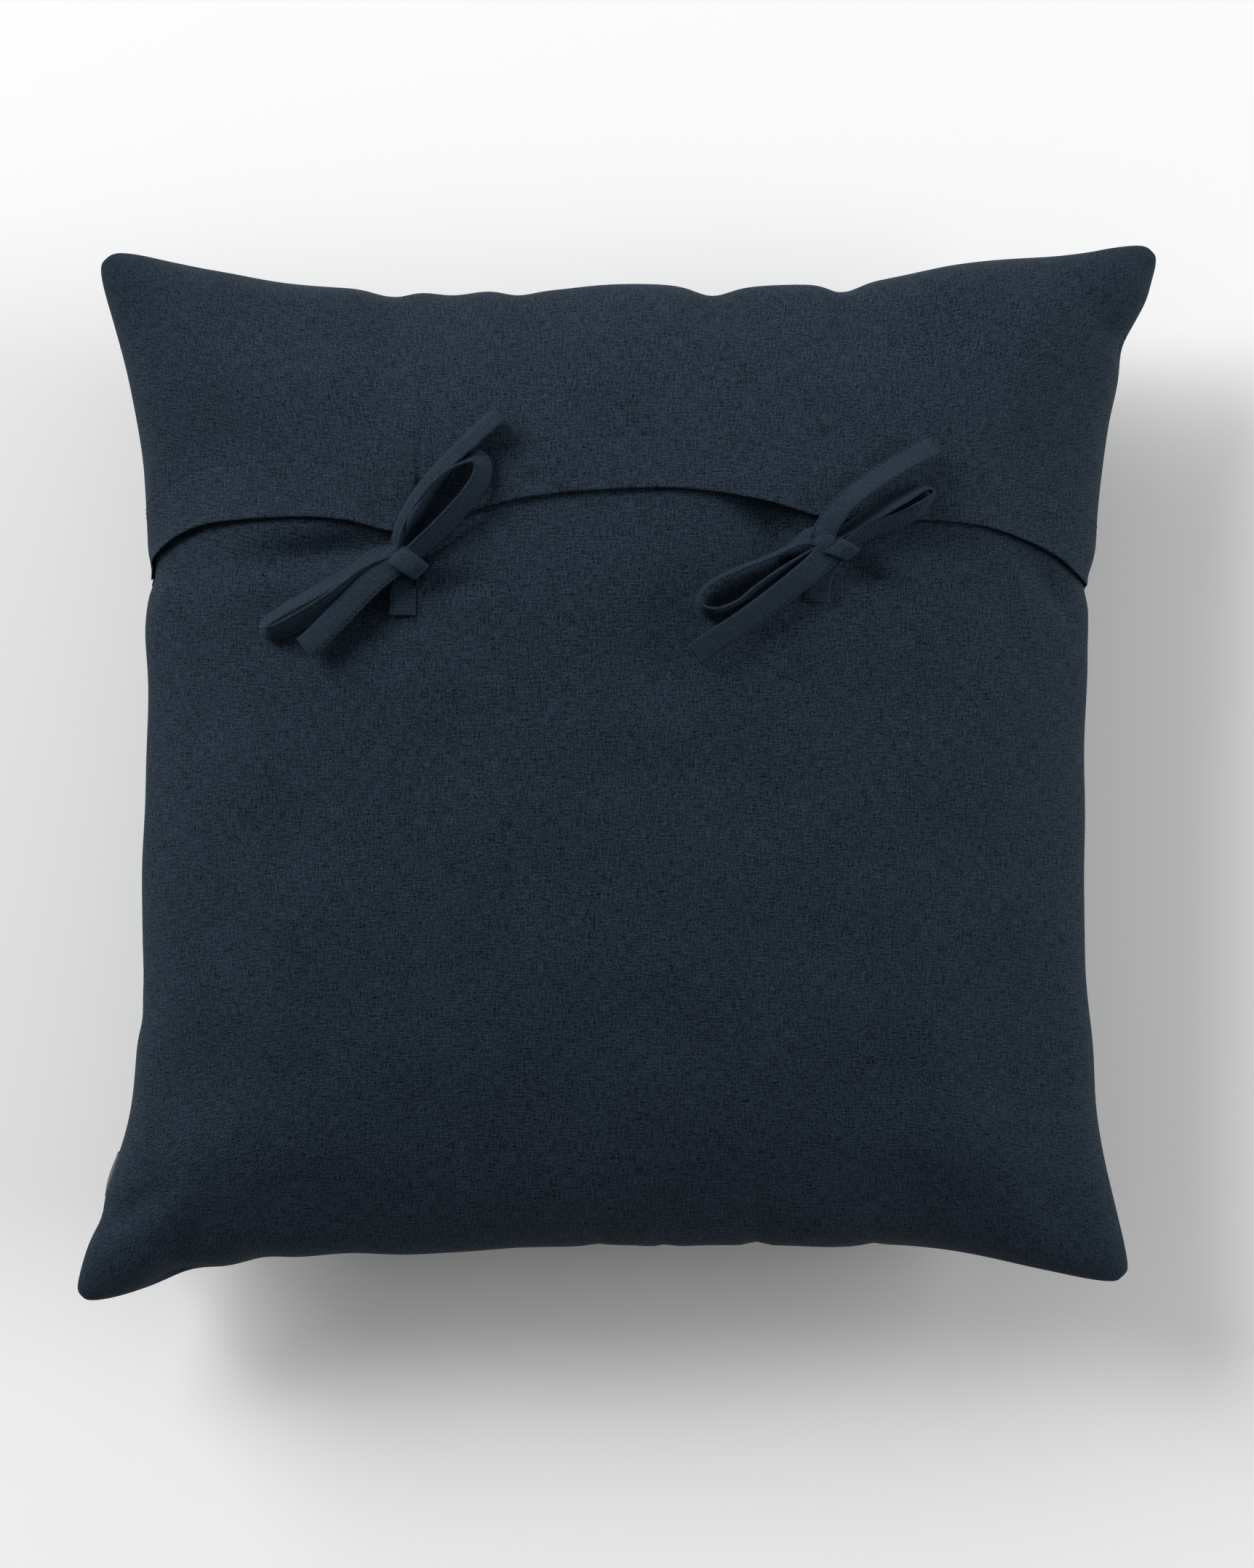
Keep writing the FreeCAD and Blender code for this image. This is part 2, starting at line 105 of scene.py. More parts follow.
KNOTS = {}
for side in ("left", "right"):
    low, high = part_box(f"{side}_knot")
    KNOTS[side] = np.array([(low[0] + high[0]) / 2, (low[1] + high[1]) / 2])

KNOT_DROP = 0.017  # of each knot's middle below the flap's edge
EDGE_AT_SIDE = 0.106  # the flap's edge, measured up the cushion from its middle
EDGE_AT_SHOULDER = 0.1345
EDGE_AT_MIDDLE = 0.151
FLAP_HEM = 0.030
OVERLAP = 0.090
LOWER_HEM = 0.015


# ---------------- small helpers

def smooth(share):
    share = np.clip(share, 0, 1)
    return share * share * (3 - 2 * share)


def unit(vectors):
    length = np.linalg.norm(vectors, axis=-1, keepdims=True)
    return vectors / np.maximum(length, 1e-12)


def bell(distance, spread):
    return np.exp(-(distance / spread) ** 2)


def through(points, count):
    """A smooth curve through a few points, at evenly spaced places."""
    points = np.asarray(points, float)
    padded = np.concatenate([[2 * points[0] - points[1]], points, [2 * points[-1] - points[-2]]])
    curve = []
    for i in range(len(points) - 1):
        a, b, c, d = padded[i:i + 4]
        for w in np.linspace(0, 1, 16, endpoint=False):
            curve.append(0.5 * (2 * b + (c - a) * w + (2 * a - 5 * b + 4 * c - d) * w ** 2
                                + (3 * b - a - 3 * c + d) * w ** 3))
    curve.append(points[-1])
    curve = np.array(curve)
    along = path_lengths(curve[:, :3])
    places = np.linspace(0, along[-1], count)
    return np.stack([np.interp(places, along, curve[:, k]) for k in range(curve.shape[1])], -1)


def make_mesh(name, points, faces, materials, cloth=None, face_materials=None):
    mesh = bpy.data.meshes.new(name)
    mesh.from_pydata(np.asarray(points, float).tolist(), [], [list(map(int, f)) for f in faces])
    mesh.update()
    mesh.polygons.foreach_set("use_smooth", [True] * len(mesh.polygons))
    for material in materials:
        mesh.materials.append(material)
    if face_materials is not None:
        mesh.polygons.foreach_set("material_index", np.asarray(face_materials, np.int32))
    if cloth is not None:
        attribute = mesh.attributes.new("cloth", "FLOAT_VECTOR", "POINT")
        attribute.data.foreach_set("vector", np.asarray(cloth, np.float32).reshape(-1))
    obj = bpy.data.objects.new(name, mesh)
    bpy.context.scene.collection.objects.link(obj)
    return obj


def grid_faces(index, flip=False):
    """The faces between the points of a grid of point numbers. Turning the grid over also turns them over."""
    faces = np.stack([index[:-1, :-1], index[1:, :-1], index[1:, 1:], index[:-1, 1:]], -1).reshape(-1, 4)
    return faces[:, ::-1] if flip else faces


def closed_layer(name, skin, lining, material, cloth=None, flip=False):
    """A closed mesh of two grids of points, joined all round their borders."""
    rows, cols = skin.shape[:2]
    index = np.arange(rows * cols).reshape(rows, cols)
    under = index + rows * cols
    edge = np.concatenate([index[:-1, 0], index[-1, :-1], index[:0:-1, -1], index[0, :0:-1]])
    after = np.roll(edge, -1)
    rim = np.stack([edge, after, after + rows * cols, edge + rows * cols], -1)
    rim = rim if flip else rim[:, ::-1]
    faces = np.concatenate([grid_faces(index, flip), grid_faces(under, not flip), rim])
    points = np.concatenate([skin.reshape(-1, 3), lining.reshape(-1, 3)])
    return make_mesh(name, points, faces, [material], cloth)


def two_sided(count):
    """Point numbers of a top and a bottom grid that share their border, and which points lie inside it."""
    inner = np.zeros((count, count), bool)
    inner[1:-1, 1:-1] = True
    index = np.arange(count * count).reshape(count, count)
    under = index.copy()
    under[inner] = count * count + np.arange(inner.sum())
    return index, under, inner


def tube_faces(rings, around, flip=False):
    """The faces of a tube of rings of points, closed at both ends."""
    index = np.arange(rings * around).reshape(rings, around)
    turned = np.roll(index, -1, axis=1)
    sides = np.stack([index[:-1], turned[:-1], turned[1:], index[1:]], -1).reshape(-1, 4)
    faces = sides.tolist() + [index[0, ::-1].tolist(), index[-1].tolist()]
    return [face[::-1] for face in faces] if flip else faces


def joined(name, parts, materials):
    """One mesh of several parts, each with its points, faces, places in the cloth and material's number."""
    verts, faces, cloth, numbers = [], [], [], []
    for some, some_faces, places, number in parts:
        faces += [[corner + len(verts) for corner in face] for face in some_faces]
        verts += np.asarray(some).tolist()
        cloth += np.zeros_like(some).tolist() if places is None else places
        numbers += [number] * len(some_faces)
    return make_mesh(name, verts, faces, materials, cloth, numbers)


def path_lengths(points):
    """How far along a path each of its points lies."""
    return np.concatenate([[0], np.cumsum(np.linalg.norm(np.diff(points, axis=0), axis=1))])


# ---------------- the form of the filled cover

def section(turn):
    """Shares of the half width and of the height at a turn from -1 to 1 over the rounded section."""
    angle = turn * math.pi / 2
    across = np.sign(np.sin(angle)) * np.abs(np.sin(angle)) ** (2 / FORM_POWER)
    up = np.abs(np.cos(angle)) ** (2 / FORM_POWER)
    return across, np.where(np.abs(turn) >= 1, 0, up)


def even_turns(count):
    """Turns that lie evenly along the cloth of the middle section."""
    fine = np.linspace(-1, 1, 4001)
    across, up = section(fine)
    step = np.hypot(np.diff(across * MIDDLE_HALF), np.diff(up * CROWN))
    along = np.concatenate([[0], np.cumsum(step)])
    return np.interp(np.linspace(-1, 1, count), 2 * along / along[-1] - 1, fine)


def ear_ramp(share):
    beyond = np.abs(share) - EAR_START
    return (beyond + np.hypot(beyond, EAR_SOFTNESS)) / 2


def pulled(share):
    """How much of the pull a side has at a share of the way from its middle to its corner."""
    start = ear_ramp(np.zeros(1))
    return 1 - (ear_ramp(share) - start) / (ear_ramp(np.ones(1)) - start)


def form(turn_x, turn_y, sign, inset=0.0):
    """Points of the filled cover's top or bottom, or of a layer set inside it."""
    across_x, up_x = section(turn_x)
    across_y, up_y = section(turn_y)
    end_pull = END_PULL + END_PULL_TILT * across_y
    x = (HALF - inset) * across_x * (1 - SIDE_PULL * pulled(across_y))
    y = (HALF - inset) * across_y * (1 - end_pull * pulled(across_x))
    z = SEAM + sign * (CROWN - inset) * up_x * up_y
    return np.stack([x, y, z], -1)


def settled(points):
    """Points of the even form brought to the lean, notched shape that lies on the floor."""
    x, y, z = np.moveaxis(points, -1, 0)
    share_x, share_y = x / HALF, y / HALF
    x = x + SIDE_LEAN * share_y
    y = y + END_LEAN * share_x - END_SHRINK * share_y - END_TWIST * share_x * share_y
    ear = smooth((np.abs(share_x * share_y) - TIP_REACH_START) / (1 - TIP_REACH_START))
    x = x + np.sign(x) * TIP_REACH * ear
    y = y + np.sign(y) * TIP_REACH * ear
    tip = np.clip(np.abs(share_x), 0, 1) ** TIP_POWER * np.clip(np.abs(share_y), 0, 1) ** TIP_POWER
    x = x - np.sign(x) * TIP_ROUND * tip
    y = y - np.sign(y) * TIP_ROUND * tip
    middle = HALF * (1 - SIDE_PULL)
    for side_name, notches in NOTCHES.items():
        upright = side_name in ("left", "right")
        sign = -1 if side_name in ("left", "bottom") else 1
        share = share_x if upright else share_y
        near = smooth((sign * share * HALF - middle + NOTCH_REACH) / NOTCH_REACH)
        for place, depth, spread in notches:
            if upright:
                x = x - sign * depth * bell(y - place, spread) * near
            else:
                y = y - sign * depth * bell(x - place, spread) * near
    z = FLOOR_SOFTNESS * np.logaddexp(0, z / FLOOR_SOFTNESS)
    return np.stack([x, y, z], -1)


SETTLING_FRAMES = 10
LONGEST_MOVE = 0.012  # of any point of the cloth while it settles
FILLED_VOLUME = 0.0335


def add_cloth(cover, rest):
    """Gives the cover its cloth solver, held out by its filling, and the places its points have when flat."""
    cover.shape_key_add(name="start")
    key = cover.shape_key_add(name="flat")
    key.data.foreach_set("co", rest.astype(np.float32).reshape(-1))
    key.value = 0
    modifier = cover.modifiers.new("settle", "CLOTH")
    cloth = modifier.settings
    cloth.quality = 6
    cloth.mass = 0.1
    cloth.tension_stiffness = 40
    cloth.compression_stiffness = 40
    cloth.shear_stiffness = 13
    cloth.bending_stiffness = 0.5
    cloth.air_damping = 2
    cloth.use_pressure = True
    cloth.uniform_pressure_force = 0
    cloth.use_pressure_volume = True
    cloth.target_volume = FILLED_VOLUME
    cloth.pressure_factor = 10
    cloth.effector_weights.gravity = 0
    cloth.rest_shape_key = key
    modifier.collision_settings.use_collision = False
    modifier.point_cache.frame_start = 1
    modifier.point_cache.frame_end = SETTLING_FRAMES


def simulated(top, bottom):
    """The cover's top and bottom after it has settled as one closed piece of cloth."""
    count = CELLS + 1
    index, under, inner = two_sided(count)
    flat = np.linspace(-FLAT_CLOTH / 2, FLAT_CLOTH / 2, count)
    flat_x, flat_y = np.meshgrid(flat, flat, indexing="ij")
    flat_points = np.stack([flat_x, flat_y, np.full_like(flat_x, SEAM)], -1)
    start = np.concatenate([top.reshape(-1, 3), bottom[inner]])

    mesh = bpy.data.meshes.new("settling")
    faces = np.concatenate([grid_faces(index), grid_faces(under, True)])
    mesh.from_pydata(start.tolist(), [], faces.tolist())
    cover = bpy.data.objects.new("settling", mesh)
    scene = bpy.context.scene
    scene.collection.objects.link(cover)
    add_cloth(cover, np.concatenate([flat_points.reshape(-1, 3), flat_points[inner]]))
    for number in range(1, SETTLING_FRAMES + 1):
        scene.frame_set(number)
    done = cover.evaluated_get(bpy.context.evaluated_depsgraph_get())
    points = np.empty(len(mesh.vertices) * 3, np.float32)
    done.data.vertices.foreach_get("co", points)
    points = points.reshape(-1, 3).astype(float)
    scene.frame_set(1)
    bpy.data.objects.remove(cover)
    bpy.data.meshes.remove(mesh)

    move = points - start
    length = np.linalg.norm(move, axis=1, keepdims=True)
    points = start + move * np.minimum(1, LONGEST_MOVE / np.maximum(length, 1e-9))
    new_top = points[:count * count].reshape(count, count, 3)
    new_bottom = new_top.copy()
    new_bottom[inner] = points[count * count:]
    return new_top, new_bottom


turns = even_turns(CELLS + 1)
turn_x, turn_y = np.meshgrid(turns, turns, indexing="ij")
top_grid = form(turn_x, turn_y, 1)
bottom_grid = form(turn_x, turn_y, -1)
top_grid, bottom_grid = simulated(top_grid, bottom_grid)
top_grid = settled(top_grid)
bottom_grid = settled(bottom_grid)


def with_ghosts(grid, other):
    """A grid with one more row all round, taken from the far side of the seam."""
    wide = np.pad(other, ((1, 1), (1, 1), (0, 0)), mode="reflect")
    wide[1:-1, 1:-1] = grid
    return wide


WIDE = {"top": with_ghosts(top_grid, bottom_grid), "bottom": with_ghosts(bottom_grid, top_grid)}


def cubic_weights(w):
    return [(-w + 2 * w ** 2 - w ** 3) / 2, (2 - 5 * w ** 2 + 3 * w ** 3) / 2,
            (w + 4 * w ** 2 - 3 * w ** 3) / 2, (-w ** 2 + w ** 3) / 2]


def at(face, t, s):
    """Points of the cover at cloth places from -1 to 1."""
    wide = WIDE[face]
    cell_t = (np.asarray(t) + 1) / 2 * CELLS + 1
    cell_s = (np.asarray(s) + 1) / 2 * CELLS + 1
    i = np.clip(np.floor(cell_t).astype(int), 1, CELLS)
    j = np.clip(np.floor(cell_s).astype(int), 1, CELLS)
    weights_t = cubic_weights(cell_t - i)
    weights_s = cubic_weights(cell_s - j)
    points = 0
    for a in range(4):
        for b in range(4):
            points = points + wide[i + a - 1, j + b - 1] * (weights_t[a] * weights_s[b])[..., None]
    return points


def normals(face, t, s):
    """Outward directions of the cover at cloth places."""
    step = 0.6 / CELLS  # a little over a quarter of a cell
    along_t = at(face, t + step, s) - at(face, t - step, s)
    along_s = at(face, t, s + step) - at(face, t, s - step)
    outward = np.cross(along_t, along_s)
    return unit(outward if face == "top" else -outward)


# For the search of cloth places: the first guess as a share of the place, the rounds, how much of each
# correction is taken, the step for the slopes, and how near to a seam a place may lie.
FIRST_GUESS = 0.85
ROUNDS = 12
CAUTION = 0.8
SLOPE_STEP = 0.004
NEAREST = 0.999


def find(x, y):
    """Cloth places of the top at places seen from above, nearer to the exact ones with each round."""
    x, y = np.asarray(x, float), np.asarray(y, float)
    t = x / MIDDLE_HALF * FIRST_GUESS
    s = y / MIDDLE_HALF * FIRST_GUESS
    for _ in range(ROUNDS):
        here = at("top", t, s)
        by_t = (at("top", t + SLOPE_STEP, s) - here) / SLOPE_STEP
        by_s = (at("top", t, s + SLOPE_STEP) - here) / SLOPE_STEP
        miss_x, miss_y = x - here[..., 0], y - here[..., 1]
        scale = by_t[..., 0] * by_s[..., 1] - by_s[..., 0] * by_t[..., 1]
        scale = np.where(np.abs(scale) < 1e-4, 1e-4, scale)
        t = np.clip(t + CAUTION * (miss_x * by_s[..., 1] - miss_y * by_s[..., 0]) / scale, -NEAREST, NEAREST)
        s = np.clip(s + CAUTION * (by_t[..., 0] * miss_y - by_t[..., 1] * miss_x) / scale, -NEAREST, NEAREST)
    return t, s


# ---------------- the flap's free edge

# The flap's free edge seen from above: places right of and above the cushion's middle.
TIE_AT_EDGE = KNOT_DROP - 0.001  # from each knot's middle to the edge, where the tie draws it down
EDGE = [
    (-0.262, EDGE_AT_SIDE - 0.006), (-0.2565, EDGE_AT_SIDE + 0.007), (-0.246, 0.1225), (-0.234, 0.1295),
    (-0.217, EDGE_AT_SHOULDER), (-0.176, 0.137), (-0.145, 0.1345),
    (KNOTS["left"][0], KNOTS["left"][1] + TIE_AT_EDGE), (-0.075, 0.140), (-0.040, 0.1475),
    (0.0, EDGE_AT_MIDDLE), (0.035, EDGE_AT_MIDDLE), (0.075, 0.1455),
    (KNOTS["right"][0], KNOTS["right"][1] + TIE_AT_EDGE), (0.160, 0.135), (0.196, 0.1325), (0.222, 0.125),
    (0.240, 0.1165), (0.252, 0.108), (0.262, EDGE_AT_SIDE - 0.006),
]
edge_curve = through(EDGE, 200)
edge_t, edge_s = find(edge_curve[:, 0], edge_curve[:, 1])
edge_order = np.argsort(edge_t)
edge_t, edge_s = edge_t[edge_order], edge_s[edge_order]


def edge_place(t):
    return np.interp(t, edge_t, edge_s)


def sides_fade(t, reach=0.02):
    """1 inside the cover, falling to 0 at its side seams."""
    return smooth((1 - np.abs(t)) * METRES / reach)


def seams_fade(t, s, reach):
    """1 inside the cover, falling to 0 at all four seams."""
    return smooth((1 - np.maximum(np.abs(t), np.abs(s))) * METRES / reach)


# Valleys (-) and swellings (+) of the cloth: middle, direction in degrees, length, width and height.
PUCKERS = [
    (-0.156, 0.1180, 4, 0.038, 0.0095, -0.0120),
    (-0.190, 0.103, 20, 0.034, 0.014, 0.0016),
    (-0.090, 0.1015, -8, 0.018, 0.0050, -0.0055),
    (-0.080, 0.119, 20, 0.020, 0.010, 0.0014),
    (0.085, 0.133, -32, 0.024, 0.0095, -0.0110),
    (0.133, 0.107, -25, 0.020, 0.0065, -0.0055),
    (0.165, 0.120, -4, 0.032, 0.0080, -0.0030),
    (0.243, 0.094, -60, 0.020, 0.0050, -0.0030),
    (0.236, 0.104, -40, 0.022, 0.0050, -0.0026),
    (0.225, 0.085, -75, 0.030, 0.0070, 0.0012),
    (-0.247, 0.095, 70, 0.022, 0.0070, 0.0018),
    (-0.110, 0.080, 85, 0.022, 0.0085, 0.0012),
    (0.110, 0.070, 100, 0.026, 0.0090, 0.0012),
]
TOP_PUCKERS = [
    (-0.124, 0.240, 88, 0.040, 0.014, -0.0030),
    (-0.054, 0.245, 95, 0.034, 0.012, -0.0020),
    (0.052, 0.245, 80, 0.034, 0.012, -0.0022),
    (0.127, 0.240, 92, 0.045, 0.012, -0.0030),
    (0.268, 0.250, 130, 0.030, 0.007, -0.0030),
    (0.285, 0.270, 130, 0.018, 0.008, 0.0016),
    (-0.236, -0.262, 60, 0.030, 0.010, -0.0030),
    (-0.262, -0.238, 35, 0.028, 0.009, -0.0026),
    (0.250, -0.250, -50, 0.040, 0.010, -0.0016),
    (-0.262, 0.262, 130, 0.040, 0.012, -0.0014),
    (-0.010, -0.255, 90, 0.022, 0.006, -0.0010),
    (0.078, -0.255, 84, 0.022, 0.006, -0.0010),
]


def puckered(points, puckers):
    """How far the cloth rises at places seen from above."""
    rise = np.zeros(points.shape[:-1])
    for x, y, degrees, length, width, height in puckers:
        turn = math.radians(degrees)
        along = (points[..., 0] - x) * math.cos(turn) + (points[..., 1] - y) * math.sin(turn)
        aside = (points[..., 1] - y) * math.cos(turn) - (points[..., 0] - x) * math.sin(turn)
        rise = rise + height * bell(along, length) * bell(aside, width)
    return rise


# Each wave: how fast it turns along x and along y, where it starts, and its height.
WAVES = [(62, 24, 0.7, 0.0004), (34, -58, 2.1, 0.0005), (-82, 44, 4.0, 0.0003), (18, 94, 5.2, 0.0003),
         (126, 10, 1.1, 0.0002)]


def slack(points):
    """Faint waves of cloth that isn't quite taut."""
    rise = np.zeros(points.shape[:-1])
    for by_x, by_y, phase, height in WAVES:
        rise = rise + height * np.sin(points[..., 0] * by_x + points[..., 1] * by_y + phase)
    return rise


SEAM_GROOVE = 0.0011


def seam_groove(t, s):
    """How deep the cloth turns in at the side seam."""
    distance = (1 - np.maximum(np.abs(t), np.abs(s))) * METRES
    return -SEAM_GROOVE * np.exp(-distance / SEAM_GROOVE)


# ---------------- materials

THREAD_PITCH = 0.00085
LINEN_FINISH = {"Roughness": 0.75, "Specular IOR Level": 0.10, "Specular Tint": (0.60, 0.80, 1.0, 1),
                "Sheen Weight": 0.03, "Sheen Roughness": 0.40, "Sheen Tint": (0.62, 0.80, 1.0, 1)}


def node_material(name, values):
    material = bpy.data.materials.new(name)
    material.use_nodes = True
    shader = material.node_tree.nodes["Principled BSDF"]
    for socket, value in values.items():
        shader.inputs[socket].default_value = value
    return material, material.node_tree, shader


def add(tree, kind, **inputs):
    node = tree.nodes.new(kind)
    for name, value in inputs.items():
        node.inputs[name].default_value = value
    return node


def scaled_place(tree, place, scale):
    node = add(tree, "ShaderNodeVectorMath")
    node.operation = "MULTIPLY"
    node.inputs[1].default_value = scale
    tree.links.new(place, node.inputs[0])
    return node.outputs[0]


def noise(tree, place, scale, detail=3.0, roughness=0.6):
    node = add(tree, "ShaderNodeTexNoise", Scale=1.0, Detail=detail, Roughness=roughness)
    tree.links.new(scaled_place(tree, place, scale), node.inputs["Vector"])
    return node.outputs["Fac"]


def math_node(tree, operation, first, second=None):
    node = tree.nodes.new("ShaderNodeMath")
    node.operation = operation
    for index, value in enumerate((first, second)):
        if value is None:
            continue
        if isinstance(value, (int, float)):
            node.inputs[index].default_value = value
        else:
            tree.links.new(value, node.inputs[index])
    return node.outputs[0]


def plus(tree, first, second):
    return math_node(tree, "ADD", first, second)


def times(tree, first, second):
    return math_node(tree, "MULTIPLY", first, second)


def threads(tree, place, axis):
    """The rounded ridges of parallel threads, from 0 to 1."""
    split = tree.nodes.new("ShaderNodeSeparateXYZ")
    tree.links.new(place, split.inputs[0])
    wave = math_node(tree, "SINE", times(tree, split.outputs[axis], math.tau / THREAD_PITCH))
    return plus(tree, times(tree, wave, 0.5), 0.5)


def uneven(tree, place):
    """Places in the cloth, shifted a little here and there, because no thread runs true."""
    wobble = noise(tree, place, (260, 260, 260), 2.0)
    both = tree.nodes.new("ShaderNodeCombineXYZ")
    for index in range(2):
        tree.links.new(wobble, both.inputs[index])
    shifted = tree.nodes.new("ShaderNodeVectorMath")
    tree.links.new(place, shifted.inputs[0])
    tree.links.new(scaled_place(tree, both.outputs[0], (0.0006, 0.0006, 0.0006)), shifted.inputs[1])
    return shifted.outputs[0]


def linen(name, dark, light, ribs=False):
    """Plain-woven linen: uneven threads both ways, slubs, faint streaks and a soft sheen, with painted shade
    that makes the threads' ridges lighter and the grooves between them darker.
    """
    material, tree, shader = node_material(name, LINEN_FINISH)
    place = add(tree, "ShaderNodeAttribute")
    place.attribute_name = "cloth"
    place = place.outputs["Vector"]
    moved = uneven(tree, place)
    height = threads(tree, moved, 1)
    warp_slub = noise(tree, place, (1300, 130, 1), 3.0)
    weft_slub = noise(tree, place, (130, 1300, 1), 3.0)
    blotch = noise(tree, place, (820, 820, 1), 2.0, 0.7)
    cloud = noise(tree, place, (28, 28, 1), 4.0)
    if not ribs:
        warp = times(tree, threads(tree, moved, 0), warp_slub)
        height = math_node(tree, "MAXIMUM", warp, times(tree, height, weft_slub))
    slubs = times(tree, plus(tree, warp_slub, weft_slub), 0.5)
    tone = plus(tree, times(tree, slubs, 0.95), times(tree, blotch, 0.9))
    # Painted shade of the weave: the threads' ridges are painted lighter and the grooves between them darker,
    # more strongly on the ribs of the ties.
    tone = plus(tree, tone, times(tree, height, 0.7 if ribs else 0.5))
    tone = plus(tree, tone, times(tree, cloud, 0.10))
    ramp = tree.nodes.new("ShaderNodeValToRGB")
    for element, position, colour in zip(ramp.color_ramp.elements, (0.66, 0.99), (dark, light)):
        element.position = position
        element.color = (*colour, 1)
    tree.links.new(times(tree, tone, 0.72), ramp.inputs[0])
    tree.links.new(ramp.outputs[0], shader.inputs["Base Color"])
    bump = add(tree, "ShaderNodeBump", Strength=0.8, Distance=0.00035)
    tree.links.new(plus(tree, height, times(tree, plus(tree, slubs, blotch), 1.2)), bump.inputs["Height"])
    tree.links.new(bump.outputs[0], shader.inputs["Normal"])
    return material


def plain(name, colour, roughness=0.85):
    values = {"Roughness": roughness, "Base Color": (*colour, 1), "Specular IOR Level": 0.2}
    return node_material(name, values)[0]


COVER = linen("cover_linen", (0.0000, 0.0002, 0.0012), (0.0265, 0.0415, 0.0610))
TIE = linen("tie_linen", (0.0002, 0.0010, 0.0026), (0.0235, 0.0370, 0.0550), ribs=True)
THREAD = plain("navy_thread", (0.0085, 0.012, 0.018))
FRAY = plain("frayed_ends", (0.035, 0.045, 0.056))
INSERT = linen("insert_cotton", (0.42, 0.40, 0.36), (0.62, 0.60, 0.55))
INSERT_THREAD = plain("insert_thread", (0.55, 0.53, 0.48))
FILLING = plain("filling_fibre", (0.7, 0.69, 0.66))
LABEL = plain("label_satin", (0.060, 0.064, 0.072), 0.6)


# ---------------- cloth layers

def cloth_metres(t, s):
    """Where the points of a skin and a lining lie in the cloth, for its threads."""
    cloth = np.stack([t * METRES, s * METRES, np.zeros_like(t)], -1).reshape(-1, 3)
    return np.concatenate([cloth, cloth])


def layer(name, face, t, s, outer, inner):
    """A closed layer of the cover's cloth between two heights over its surface, on a grid of cloth places."""
    points = at(face, t, s)
    outward = normals(face, t, s)
    skin = points + outward * outer[..., None]
    lining = points + outward * inner[..., None]
    return closed_layer(name, skin, lining, COVER, cloth_metres(t, s), face == "bottom")


def crowded(count, close):
    """Shares from -1 to 1, even in the middle and close together at the ends."""
    close = np.array(close) / METRES
    middle = np.linspace(-1 + close[-1], 1 - close[-1], count)
    return np.concatenate([-1 + close[:-1], middle, (1 - close[:-1])[::-1]])


NEAR_SEAM = [0, 0.0005, 0.0011, 0.0018, 0.0027, 0.0040, 0.0060, 0.0085]
WAVE_FADE = 0.010

# Where the flap's edge stands off the panel below it: place, height and spread.
LIFTS = [(-0.232, 0.0022, 0.030), (-0.140, 0.0016, 0.024), (0.088, 0.0020, 0.030), (-0.060, 0.0006, 0.020),
         (0.225, 0.0008, 0.030), (0.010, 0.0004, 0.060)]
LEAST_LIFT = 0.0008
PANEL_DEPTH = 0.0002  # of the lower panel under the cover's surface
PRESSED_DEPTH = 0.0006  # how much deeper it is pressed under the flap, and again right at the flap's edge
TIE_PATCH = 0.0085  # half the width of the raised patch over a sewn tie end
FLAP_SPAN = 0.55  # of the flap from its hem to its seam, in cloth places


def flap_lift(x):
    lift = LEAST_LIFT
    for place, height, spread in LIFTS:
        lift = lift + height * bell(x - place, spread)
    return lift


def tie_patch(x, past_edge):
    """The raised patches of the flap over the sewn ends of the upper ties."""
    patch = 0
    for knot_place in (KNOTS["left"][0], KNOTS["right"][0]):
        patch = patch + smooth((TIE_PATCH + 0.0025 - np.abs(x - knot_place)) / 0.003)
    return patch * smooth((FLAP_HEM + 0.0005 - past_edge) / 0.0025)


def front_panel():
    t, s = np.meshgrid(crowded(130, NEAR_SEAM), crowded(130, NEAR_SEAM), indexing="ij")
    outer = seam_groove(t, s)
    return layer("front_panel_cloth", "bottom", t, s, outer, outer - CLOTH)


def back_lower_panel():
    places = crowded(150, NEAR_SEAM)
    shares = np.concatenate([(np.array(NEAR_SEAM[:-1]) / METRES) / 2,
                             np.linspace(NEAR_SEAM[-1] / METRES / 2, 1, 150)])
    t, share = np.meshgrid(places, shares, indexing="ij")
    last = edge_place(t) + OVERLAP / METRES
    s = -1 + share * (last + 1)
    points = at("top", t, s)
    under = (s - edge_place(t)) * METRES
    pressed = smooth((under + 0.004) / 0.010) + bell(under + 0.001, 0.010)
    folds = puckered(points, PUCKERS) * smooth((0.010 - under) / 0.012)
    outer = seam_groove(t, s) - PANEL_DEPTH + sides_fade(t) * (folds - PRESSED_DEPTH * pressed)
    outer = outer + seams_fade(t, s, WAVE_FADE) * (puckered(points, TOP_PUCKERS) + slack(points))
    hem = smooth((s - last) * METRES / LOWER_HEM + 1)
    return layer("back_lower_panel_cloth", "top", t, s, outer, outer - CLOTH * (1 + 0.4 * hem))


# Where the flap's rows of points lie past its free edge, close together where the cloth steps.
HEM_STEPS = [0, 0.00015, 0.0005, 0.0010, 0.0017, 0.0027, 0.0042, 0.0065, 0.0095, 0.013, 0.0165, 0.020, 0.0235,
             0.0265, 0.0283, 0.0290, 0.0295, 0.0300, 0.0305, 0.0310, 0.0318, 0.0330, 0.0345]
FLAP_CLOTH = 0.0009
HEM_EXTRA = 0.0010  # thickness the hem's second layer adds
FLAP_RISE = 0.0011  # of the flap over the cover's surface, where the lower panel lies under it
STEP_RISE = 0.0005
TIE_PATCH_RISE = 0.0014
RIPPLE = 0.00025  # height of the hem's faint waves, and depth of the groove its stitches pull in
FLAP_END_FADE = 0.045  # length over which the flap is pressed flat towards the side seams
FLAP_END_LEVEL = 0.0006


